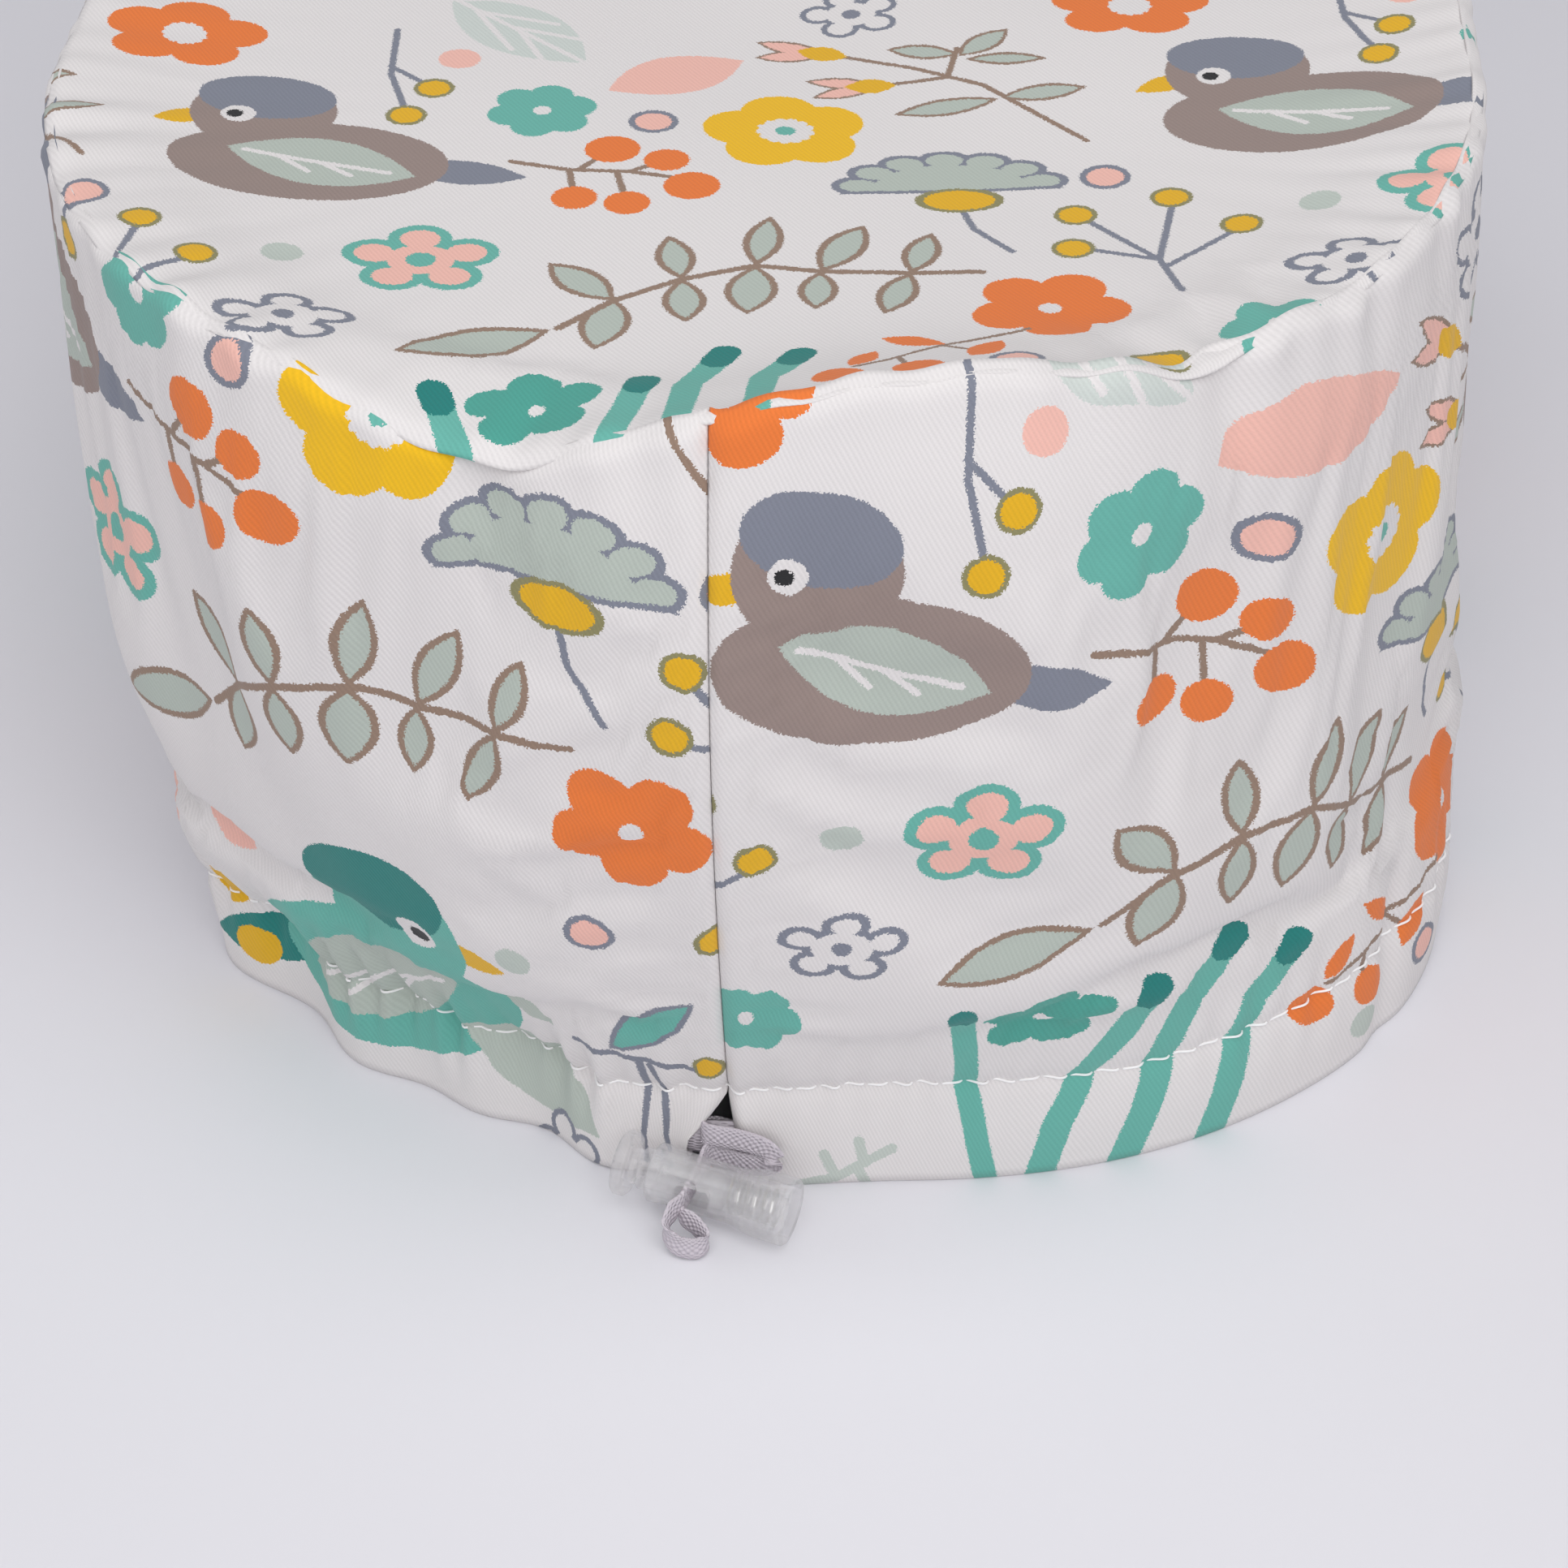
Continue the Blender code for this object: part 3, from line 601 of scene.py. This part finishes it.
def print_motifs(tree, flat):
    c = linear(WHITE)
    here = repeat(tree, flat, (46, -45))
    beside = repeat(tree, flat, (100, -45))
    c = ink(tree, c, leaves(tree, here, ((36, 12), (20, 31), 6.0)), 0, "#CDD4CF")
    c = ink(tree, c, stems(tree, here, [(36, 12), (20, 31)], [(31, 12), (28, 22)], [(27, 16), (23, 27)],
                           [(37, 18), (28, 22)], [(33, 23), (23, 27)]), 0.4, WHITE)
    c = berries(tree, here, c, [[(13, 22), (12.2, 10), (14, 0)], [(12.2, 12), (17.4, 6)]],
                [(17.4, 6), (14, -0.8)], 0.42, 1.9, 0.6)
    c = ink(tree, c, dots(tree, here, (20.6, 13.7)), 2.6, PINK)
    found = flower(tree, here, (30.3, -0.5), 6, 4.0, 2.7, 0.3)
    c = ink(tree, c, found, 0, TEAL)
    c = ink(tree, c, leaves(tree, here, ((38.5, 4.4), (55.5, 12.8), 5.0)), 0, PINK)
    found = leaves(tree, here, ((40.2, -5.2), (46.8, -3.2), 3.1), ((74.6, -73.4), (81.6, -70.6), 2.7),
                   ((92.2, -23), (98.2, -21.6), 2.6))
    found = dots(tree, here, (43.5, -4.2), (78.1, -72), (95.2, -22.4))
    c = ink(tree, c, found, 3.0, SLATE)
    c = ink(tree, c, found, 2.2, PINK)
    c = ink(tree, c, dots(tree, here, (30.3, -0.5)), 1.1, WHITE)
    c = ink(tree, c, flower(tree, here, (59, -7.5), 5, 5.0, 4.4, 0.2, (1.05, 1.05)), 0, "#EFBC1E")
    c = ink(tree, c, flower(tree, here, (59, -7.5), 13, 2.8, 0.7), 0, WHITE)
    c = ink(tree, c, dots(tree, here, (59, -7.5)), 1.2, TEAL)
    c = berries(tree, here, c, [[(26.3, -13), (33, -15.6), (40, -16.8), (47, -19.5)], [(34, -15.8), (38.3, -11)],
                                [(40, -16.8), (44.5, -14.3)], [(33, -15.6), (33.3, -22)],
                                [(38.5, -16.6), (39.3, -24.5)]],
                [(38.3, -11), (47, -21)], 0.42, 3.3, 0, BROWN, ORANGE)
    c = ink(tree, c, dots(tree, here, (44.5, -14.3), (39.3, -24.3), (33.3, -22.4)), 2.7, ORANGE)
    found = flower(tree, here, (15.5, -36), 5, 5.2, 3.5, 0.25, (1.05, 0.95))
    c = ink(tree, c, found, 0, TEAL)
    c = ink(tree, c, found, -1.3, PINK)
    found = dots(tree, here, (15.5, -36))
    c = ink(tree, c, found, 1.7, TEAL)
    c = ink(tree, c, dots(tree, here, (0, -35), (67, -79)), 2.4, "#BFC8C0")
    found = flower(tree, here, (0.5, -52), 5, 4.1, 2.3, 0.3, (1.25, 0.9))
    c = ink(tree, c, found, 0, SLATE)
    c = ink(tree, c, found, -0.9, WHITE)
    found = flower(tree, here, (70, 24), 5, 4.1, 2.4, 0.1)
    c = ink(tree, c, found, 0, SLATE)
    c = ink(tree, c, found, -0.8, WHITE)
    c = ink(tree, c, dots(tree, here, (0.5, -52), (70, 24)), 1.2, SLATE)

    stalk = stems(tree, here, [(30.3, -52.2), (36.7, -46.6), (44.5, -42.8), (52.9, -40.6), (60, -42.6), (70, -43.8),
                               (78, -44.2)])
    twigs = leaves(tree, here, ((29.5, -52.5), (12.3, -58.6), 3.4), ((36.7, -46.6), (29.8, -37.5), 2.7),
                   ((36.9, -46.4), (34.0, -57.2), 2.9), ((44.5, -42.8), (43.6, -32.6), 2.3),
                   ((44.5, -42.8), (44.3, -52.8), 2.5), ((52.9, -40.6), (55.5, -29.2), 2.3),
                   ((52.9, -40.6), (51.0, -51.8), 3.0), ((60, -42.6), (66.0, -32.0), 2.6),
                   ((60, -42.6), (58.6, -51.6), 2.3), ((70, -43.8), (73.5, -34.2), 2.2),
                   ((70, -43.8), (66.0, -53.6), 2.3))
    c = ink(tree, c, twigs, 0, BROWN)
    c = ink(tree, c, twigs, -0.85, SAGE)
    c = ink(tree, c, stalk, 0.5, BROWN)

    found = flower(tree, here, (77, -24), 14, 0.74, 0.22, 0.0, (14.8, 10.5))
    side = put(tree, "SeparateXYZ", here, out=1)
    above = put(tree, "Math", -24.3, side, operation="SUBTRACT")
    fan = put(tree, "Math", found, put(tree, "Math", above, 0.1, operation="MULTIPLY"), operation="MAXIMUM")
    c = ink(tree, c, fan, 0, SLATE)
    c = ink(tree, c, fan, -0.07, SAGE)
    c = ink(tree, c, stems(tree, here, [(77.5, -28), (78.4, -33.5), (82, -39.5)]), 0.42, SLATE)
    found = blob(tree, here, (77.6, -26.3), 5.2, 3.0)
    c = ink(tree, c, found, 1, OLIVE)
    c = ink(tree, c, found, 0.8, MUSTARD)
    c = ink(tree, c, flower(tree, here, (84.2, -54.1), 5, 5.2, 3.8, 0.75), 0, ORANGE)
    c = ink(tree, c, dots(tree, here, (84.2, -54.1)), 1.3, WHITE)

    c = ink(tree, c, stems(tree, here, [(66, 13.6), (76, 8), (84, 2), (94.4, -13.2)], [(72, 4), (80, 4.8)],
                           [(80, 5), (82, 12)]), 0.4, BROWN)
    found = leaves(tree, here, ((82, 10.4), (73.4, 13.6), 1.9), ((82, 10), (88.8, 15.8), 2.1),
                   ((85.4, -1.6), (72.4, -4), 2.1), ((85.6, -1.4), (96.4, -0.4), 2.0), ((82.6, 9), (92.6, 7.4), 1.6))
    c = ink(tree, c, found, 0, BROWN)
    c = ink(tree, c, found, -0.6, SAGE)
    found = leaves(tree, here, ((66, 13.6), (57.5, 18.0), 1.7), ((66, 13.6), (57.0, 13.6), 1.7),
                   ((71.5, 4), (62.6, 6.4), 1.6), ((71.5, 4), (63.0, 1.6), 1.6))
    c = ink(tree, c, found, 0, BROWN)
    c = ink(tree, c, found, -0.45, PINK)
    found = leaves(tree, here, ((62.4, 15.2), (68.4, 12.4), 1.9), ((67.2, 4.2), (73.6, 3.8), 1.9))
    c = ink(tree, c, found, 0, MUSTARD)

    c = berries(tree, beside, c, [[(99.1, -53), (98, -44), (91, -32)], [(98, -44), (101.9, -30)],
                                  [(98.4, -46), (108, -38.5)], [(98, -44), (90, -40)]],
                [(90.4, -31.3), (101.9, -28.9), (108.5, -37.5), (88.9, -39.7)], 0.42, 1.9, 0.6)
    c = ink(tree, c, blob(tree, beside, (93.4, -71.5), 3.6, 2.6, 30), 1.0, OLIVE)
    c = ink(tree, c, blob(tree, beside, (93.4, -71.5), 3.6, 2.6, 30), 0.76, MUSTARD)
    c = ink(tree, c, flower(tree, beside, (104.8, 20), 5, 5.4, 3.9, 0.4, (1.1, 0.9)), 0, ORANGE)
    c = ink(tree, c, flower(tree, beside, (104.8, 20), 13, 2.2, 0.6), 0, WHITE)
    found = flower(tree, beside, (107.5, -66.5), 6, 4.0, 2.7, 0.6)
    c = ink(tree, c, found, 0, TEAL)
    c = ink(tree, c, dots(tree, beside, (107.0, -66.0)), 1.0, WHITE)

    c = resting_bird(tree, repeat(tree, flat, (5, -4)), c, (0, 0), 1, 1.0, FUR, SLATE, SAGE)
    return second_row(tree, flat, c)


def second_row(tree, flat, c):
    """What only every other repeat has, below: reeds at one place and a teal bird at the next."""
    near = repeat(tree, flat, (38, -85), 2 * REPEAT_WIDE)
    c = ink(tree, c, flower(tree, near, (27, -69.5), 5, 4.0, 2.6, 0.3, (1.15, 0.9)), 0, "#4FA294")
    c = ink(tree, c, dots(tree, near, (27.4, -69.8)), 0.9, WHITE)
    reeds = [[(16.5, -65.6), (19, -76), (22, -92), (26, -108)], [(39, -67), (36, -76), (31, -90), (28, -108)],
             [(48, -61), (43.5, -70), (41, -84), (36, -108)], [(56, -63), (51.5, -71), (49, -86), (45, -108)]]
    c = ink(tree, c, stems(tree, near, *reeds), 1.6, TEAL)
    c = ink(tree, c, stems(tree, near, *[[a, tuple(Vector(a).lerp(Vector(b), 0.22))] for a, b, *_ in reeds]), 1.8, PINE)
    c = ink(tree, c, blob(tree, near, (37, -108), 15, 8), 1, TEAL)
    c = berries(tree, near, c, [[(81, -60), (71, -64.5), (61, -71)], [(71, -64.5), (75, -68)],
                                [(66, -68), (66.5, -72)]],
                [(59, -74), (67.5, -73.5)], 0.35, 2.8, 0, BROWN, ORANGE)
    c = ink(tree, c, leaves(tree, near, ((71.5, -64), (65, -60.2), 1.6), ((64, -64.4), (60.6, -70.4), 1.4),
                            ((77.6, -63.6), (73.4, -70.2), 1.8)), 0, ORANGE)
    c = ink(tree, c, stems(tree, near, [(-4, -97.5), (2, -96.5), (10, -92)], [(2, -96.5), (0, -92.5)],
                           [(6, -94.4), (5.2, -90.6)], [(5, -95), (7, -99)]), 0.8, "#C3CBC4")

    far = repeat(tree, flat, (163, -85), 2 * REPEAT_WIDE)
    c = resting_bird(tree, far, c, (162, -79), -1, 1.3, TEAL, PINE, SAGE)
    found = leaves(tree, far, ((194.5, -96.5), (207.5, -84.0), 3.3))
    c = ink(tree, c, found, 0, SLATE)
    c = ink(tree, c, found, -0.8, TEAL)
    c = ink(tree, c, stems(tree, far, [(189, -97), (197, -97.4), (207, -99)], [(198.5, -97.5), (200, -116)],
                           [(200, -99), (205, -114)]), 0.55, SLATE)
    c = ink(tree, c, dots(tree, far, (208.6, -98)), 2.4, OLIVE)
    c = ink(tree, c, dots(tree, far, (208.6, -98)), 1.8, MUSTARD)
    c = ink(tree, c, leaves(tree, far, ((168, -100), (192, -113), 5.4), ((179, -91), (186, -95), 1.7)), 0, "#B9C2B9")
    found = flower(tree, far, (185, -119), 5, 4.4, 2.8, 0.1)
    c = ink(tree, c, found, 0, SLATE)
    c = ink(tree, c, found, -0.9, WHITE)
    c = ink(tree, c, dots(tree, far, (132.8, -101), (130, -92)), 3.0, MUSTARD)
    c = ink(tree, c, leaves(tree, far, ((120, -80), (127, -83), 1.8), ((134, -77), (142, -80), 2.2)), 0, PINK)
    return c


# %% The twill that carries the print
def twill(tree, flat):
    """A wave that runs down the diagonal ribs of a two-and-one twill, crossed by its threads."""
    rib = put(tree, "VectorMath", flat, (math.tau / 0.57, math.tau / 1.15, 0), operation="DOT_PRODUCT")
    rib = put(tree, "Math", rib, operation="SINE")
    thread = put(tree, "VectorMath", flat, (0, math.tau / 0.38, 0), operation="DOT_PRODUCT")
    thread = put(tree, "Math", thread, operation="SINE")
    return put(tree, "Math", rib, thread, operation="MULTIPLY"), rib


def cotton(name, inks):
    material, tree, shader = new_material(name, Roughness=0.88, Specular_IOR_Level=0.25, Sheen_Weight=0.12)
    uv = put(tree, "TexCoord", out=2)
    flat = put(tree, "VectorMath", uv, (UV_UNIT, UV_UNIT, 0), operation="MULTIPLY")
    waver = put(tree, "TexNoise", flat, None, 0.28, 1.0, out=1)
    waver = put(tree, "VectorMath", waver, (0.5, 0.5, 0.5), operation="SUBTRACT")
    printed = put(tree, "VectorMath", waver, (0.7, 0.7, 0), flat, operation="MULTIPLY_ADD")
    colour = inks(tree, printed)
    knots, rib = twill(tree, flat)
    shade = put(tree, "Math", rib, 0.035, 0.965, operation="MULTIPLY_ADD")
    shade = put(tree, "Math", knots, 0.02, shade, operation="MULTIPLY_ADD")
    colour = put(tree, "VectorMath", colour, shade, operation="MULTIPLY")
    tree.links.new(colour, shader.inputs["Base Color"])
    height = put(tree, "Math", knots, 0.4, rib, operation="MULTIPLY_ADD")
    bumped = put(tree, "Bump", 0.35, 0.03 * MM, None, height)
    tree.links.new(bumped, shader.inputs["Normal"])
    return material


def faint(tree, flat):
    """The print as it shows through on the cloth's back."""
    blotch = put(tree, "TexNoise", flat, None, 0.06, 1.0)
    return put(tree, "Mix", blotch, linear("#ECE9E8"), linear("#DCDCDA"), data_type="RGBA")


printed_side = cotton("printed_cotton_twill", print_motifs)
plain_side = cotton("printed_cotton_twill_back", faint)
for piece, node in ((wall_right, "side_panel_right"), (wall_left, "side_panel_left"), (crown, "crown_panel")):
    piece.data.materials.append(printed_side)
    piece.data.materials.append(plain_side)
    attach(piece, "cap")
    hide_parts(node)
print("the print is drawn by", len(printed_side.node_tree.nodes), "nodes")

# %% [markdown]
# ## Tape, sweatband and elastic inside
# Inside the cap the raw edges are bound, a strip of towelling lies behind the forehead, and the flat
# elastic runs in the casing. Each is a strip that follows the wall, a little further in.

# %% Strips that follow the wall
def strip(name, node, across, down, inward, thickness, material, front=False):
    turned = (lambda s: np.where(s < 0, s + HALF_ROUND, s - HALF_ROUND)) if front else (lambda s: s)
    piece = cloth_sheet(name, across, down, lambda s, t: wall_place(turned(s) + 1e-6, t, inward), lambda s, t: (s, -t))
    apply_modifier(piece, "SOLIDIFY", thickness=thickness * MM, offset=-1)
    only(piece)
    bpy.ops.object.shade_smooth()
    piece.data.materials.append(material)
    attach(piece, "cap")
    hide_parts(node)
    return piece


def plain_weave(name, code, across, along, depth, roughness=0.9):
    """Cloth whose threads are that far apart, in millimetres, across and along it."""
    material, tree, shader = new_material(name, Base_Color=linear(code), Roughness=roughness)
    flat = put(tree, "VectorMath", put(tree, "TexCoord", out=2), (UV_UNIT, UV_UNIT, 0), operation="MULTIPLY")
    threads = [put(tree, "Math", put(tree, "VectorMath", flat, way, operation="DOT_PRODUCT"), operation="SINE")
               for way in ((math.tau / across, 0, 0), (0, math.tau / along, 0))]
    height = put(tree, "Math", *threads, operation="MULTIPLY" if along < 50 else "ADD")
    tree.links.new(put(tree, "Bump", 0.8, depth * MM, None, height), shader.inputs["Normal"])
    return material


tape = plain_weave("plain_woven_cotton_tape", "#E9E6E4", 0.5, 0.5, 0.08)
terry = plain_weave("looped_cotton_towelling", "#F0EFEC", 1.1, 1.3, 0.5)
round_lines = close_lines(-HALF_ROUND + 0.5, HALF_ROUND - 0.5, 2.3)
seam_lines = close_lines(-3, 3, 0.5)
strip("crown_seam_tape", "crown_seam_binding", round_lines, close_lines(2, 8.5, 0.8)[::-1],
      1.3, 0.8, tape)
strip("back_seam_tape", "back_seam_binding", seam_lines, close_lines(3, STITCH_ROW - 1, 2.5)[::-1],
      1.2, 0.8, tape)
strip("front_seam_tape", "front_seam_binding", seam_lines, close_lines(3, STITCH_ROW - 1, 2.5)[::-1],
      1.2, 0.8, tape, front=True)
band_low, band_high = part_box("sweatband")
BAND_HALF = 115.0
band = strip("sweatband_towelling", "sweatband", close_lines(-BAND_HALF, BAND_HALF, 2.3),
             close_lines(WALL_HEIGHT - band_high.z / MM, WALL_HEIGHT - band_low.z / MM, 2.0)[::-1], 2.6, 1.6, terry,
             front=True)
elastic_cloth = plain_weave("braided_flat_elastic", "#CFC7CF", 0.9, 0.62, 0.15, 0.7)
strip("casing_elastic_band", "casing_elastic", close_lines(-HALF_ROUND + 1, HALF_ROUND - 1, 2.3),
      close_lines(WALL_HEIGHT - 9.6, WALL_HEIGHT - 4.0, 1.1)[::-1], 0.85, 0.6, elastic_cloth)

# %% [markdown]
# ## The row of stitches
# A lockstitch machine leaves a row of short separate threads on the outside, each going down a needle
# hole at both ends. They are short round curves that follow the wall, turned into a mesh.

# %% Stitches
thread_curve = bpy.data.curves.new("hem_stitches", "CURVE")
thread_curve.dimensions = "3D"
thread_curve.bevel_depth = 0.16 * MM
thread_curve.bevel_resolution = 2
thread_curve.use_fill_caps = True
rng = np.random.default_rng(7)
for number in range(int(2 * HALF_ROUND / STITCH_PITCH)):
    start = -HALF_ROUND + (number + 0.5) * STITCH_PITCH - STITCH_PITCH * 0.5
    along = np.linspace(0.10, 0.90, 9)
    s = start + STITCH_PITCH * along
    t = STITCH_ROW + 0.0 * s + rng.normal(0, 0.06) + rng.normal(0, 0.10) * (along - 0.5)
    points = wall_place(s, t, -0.12 - 0.0 * s)
    x, y, out_x, out_y = crown_edge(s)
    sink = 0.8 * (1.25 * (2 * along - 1)) ** 8 / 6
    points[:, 0] -= out_x * sink
    points[:, 1] -= out_y * sink
    spline = thread_curve.splines.new("POLY")
    spline.points.add(len(points) - 1)
    spline.points.foreach_set("co", np.column_stack([points * MM, np.ones(len(points))]).ravel())
stitches = bpy.data.objects.new("hem_stitches", thread_curve)
bpy.context.scene.collection.objects.link(stitches)
only(stitches)
bpy.ops.object.convert(target="MESH")
stitches = bpy.context.object
bpy.ops.object.shade_smooth()
material, tree, shader = new_material("twisted_polyester_thread", Base_Color=linear("#F6F5F5"), Roughness=0.45)
stitches.data.materials.append(material)
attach(stitches, "cap")
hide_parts("hem_thread")
print("one row of", number + 1, "stitches")

# %% [markdown]
# ## The elastic loop through the lock
# The elastic comes out of the slot, bends round, goes through the lock's hole, turns in a free loop
# and comes back. It is one flat ribbed ribbon that the hole squeezes narrow. A ribbon is swept along
# that line here, with its broad side upright.

# %% Elastic ribbon
SEAM_FOOT = Vector((0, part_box("hem_thread")[0].y + 0.8 * MM, 0))
ROUTE = [(0.25, 2.0, 7.0), (-1.7, 1.7, 7.6), (-3.0, -0.1, 8.7), (-2.2, -1.7, 9.5), (1.0, -2.1, 9.3), (4.4, -2.4, 8.4),
         (5.8, -2.6, 6.8), (4.6, -2.2, 5.2), (1.4, -1.6, 5.0), (-1.2, -1.2, 5.7), (-2.75, -2.0, 6.28),
         (-3.9, -6.0, 6.28), (-5.0, -9.8, 6.25), (-6.1, -11.4, 5.4), (-6.6, -12.7, 3.7), (-5.3, -13.8, 2.3),
         (-3.0, -13.9, 1.9), (-1.9, -12.8, 2.3), (-3.1, -11.6, 3.4), (-4.9, -10.6, 4.3), (-5.0, -9.4, 4.38),
         (-4.0, -6.0, 4.38), (-2.95, -2.3, 4.38), (-2.5, 0.0, 4.3), (-3.4, 1.7, 4.8), (-4.75, 1.95, 5.1)]


def smooth_route(points, steps):
    """A line that passes through the points and turns softly at each."""
    points = np.array(points)
    padded = np.vstack([2 * points[0] - points[1], points, 2 * points[-1] - points[-2]])
    share = np.linspace(0, 1, steps, endpoint=False)[:, None]
    parts = []
    for a, b, c, d in zip(padded, padded[1:], padded[2:], padded[3:]):
        parts.append(0.5 * (2 * b + (c - a) * share + (2 * a - 5 * b + 4 * c - d) * share ** 2
                            + (3 * b - a - 3 * c + d) * share ** 3))
    return np.vstack(parts + [points[-1:]])


RIBBON_WIDE, RIBBON_THICK, SQUEEZED = 3.4, 0.75, 1.7
route = smooth_route(ROUTE, 8)
route = route + np.array(SEAM_FOOT) / MM
lengths = np.concatenate([[0], np.cumsum(np.linalg.norm(np.diff(route, axis=0), axis=1))])
heading = np.gradient(route, axis=0)
heading /= np.linalg.norm(heading, axis=1)[:, None]
upright = np.array([0, 0, 1.0]) - heading * heading[:, 2:3]
upright /= np.linalg.norm(upright, axis=1)[:, None]
aside = np.cross(heading, upright)
depth = SEAM_FOOT.y / MM - route[:, 1]
in_lock = np.clip((depth - 2.2) / 1.2, 0, 1) * np.clip((11.0 - depth) / 1.2, 0, 1)
half_wide = (RIBBON_WIDE + (SQUEEZED - RIBBON_WIDE) * in_lock) / 2
AROUND = 24


def ribbon_place(row, step):
    row, turn = row.astype(int), step / AROUND * math.tau
    ribs = 1 + 0.10 * np.cos(7 * turn * 2) * np.abs(np.sin(turn))
    wide = np.sign(np.cos(turn)) * np.abs(np.cos(turn)) ** 0.7 * half_wide[row]
    thick = np.sign(np.sin(turn)) * np.abs(np.sin(turn)) ** 0.7 * RIBBON_THICK / 2 * ribs
    return route[row] + upright[row] * wide[:, None] + aside[row] * thick[:, None]


ribbon = cloth_sheet("elastic_ribbon", np.arange(len(route), dtype=float), np.arange(AROUND + 1.0), ribbon_place,
                     lambda row, step: (lengths[row.astype(int)], half_wide[row.astype(int)]
                                        * np.cos(step / AROUND * math.tau)))
only(ribbon)
bpy.ops.object.mode_set(mode="EDIT")
bpy.ops.mesh.select_all(action="SELECT")
bpy.ops.mesh.remove_doubles(threshold=0.001 * MM)
bpy.ops.mesh.select_all(action="DESELECT")
bpy.ops.mesh.select_non_manifold()
bpy.ops.mesh.edge_face_add()
bpy.ops.mesh.select_all(action="SELECT")
bpy.ops.mesh.normals_make_consistent(inside=False)
bpy.ops.object.mode_set(mode="OBJECT")
bpy.ops.object.shade_smooth()
ribbon.data.materials.append(elastic_cloth)
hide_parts("elastic_loop")
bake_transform(ribbon)
print("the ribbon shows", round(lengths[-1], 1), "mm of elastic")

# %% [markdown]
# ## The cord lock
# The lock is a barrel and a push button, both moulded in clear plastic, with a steel spring between
# them. The frame's own solids already have their real shape, so they only take their finish.

# %% Clear plastic and spring steel
clear, tree, shader = new_material("moulded_clear_polycarbonate", Base_Color=linear("#FFFEFF"), Roughness=0.1,
                                   IOR=1.45, Transmission_Weight=0.75, Alpha=0.42)
place = put(tree, "TexCoord", out=3)
haze = put(tree, "TexNoise", place, None, 900.0, 2.0)
haze = put(tree, "MapRange", haze, 0.35, 0.75, 0.03, 0.22)
tree.links.new(haze, shader.inputs["Roughness"])
steel, tree, shader = new_material("drawn_spring_steel", Base_Color=linear("#C9C8C6"), Roughness=0.28, Metallic=1.0)
for node, finish in (("cord_lock_barrel", clear), ("cord_lock_plunger", clear), ("cord_lock_spring", steel)):
    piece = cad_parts[node]
    piece.data.materials.clear()
    piece.data.materials.append(finish)
print("lock pieces finished")
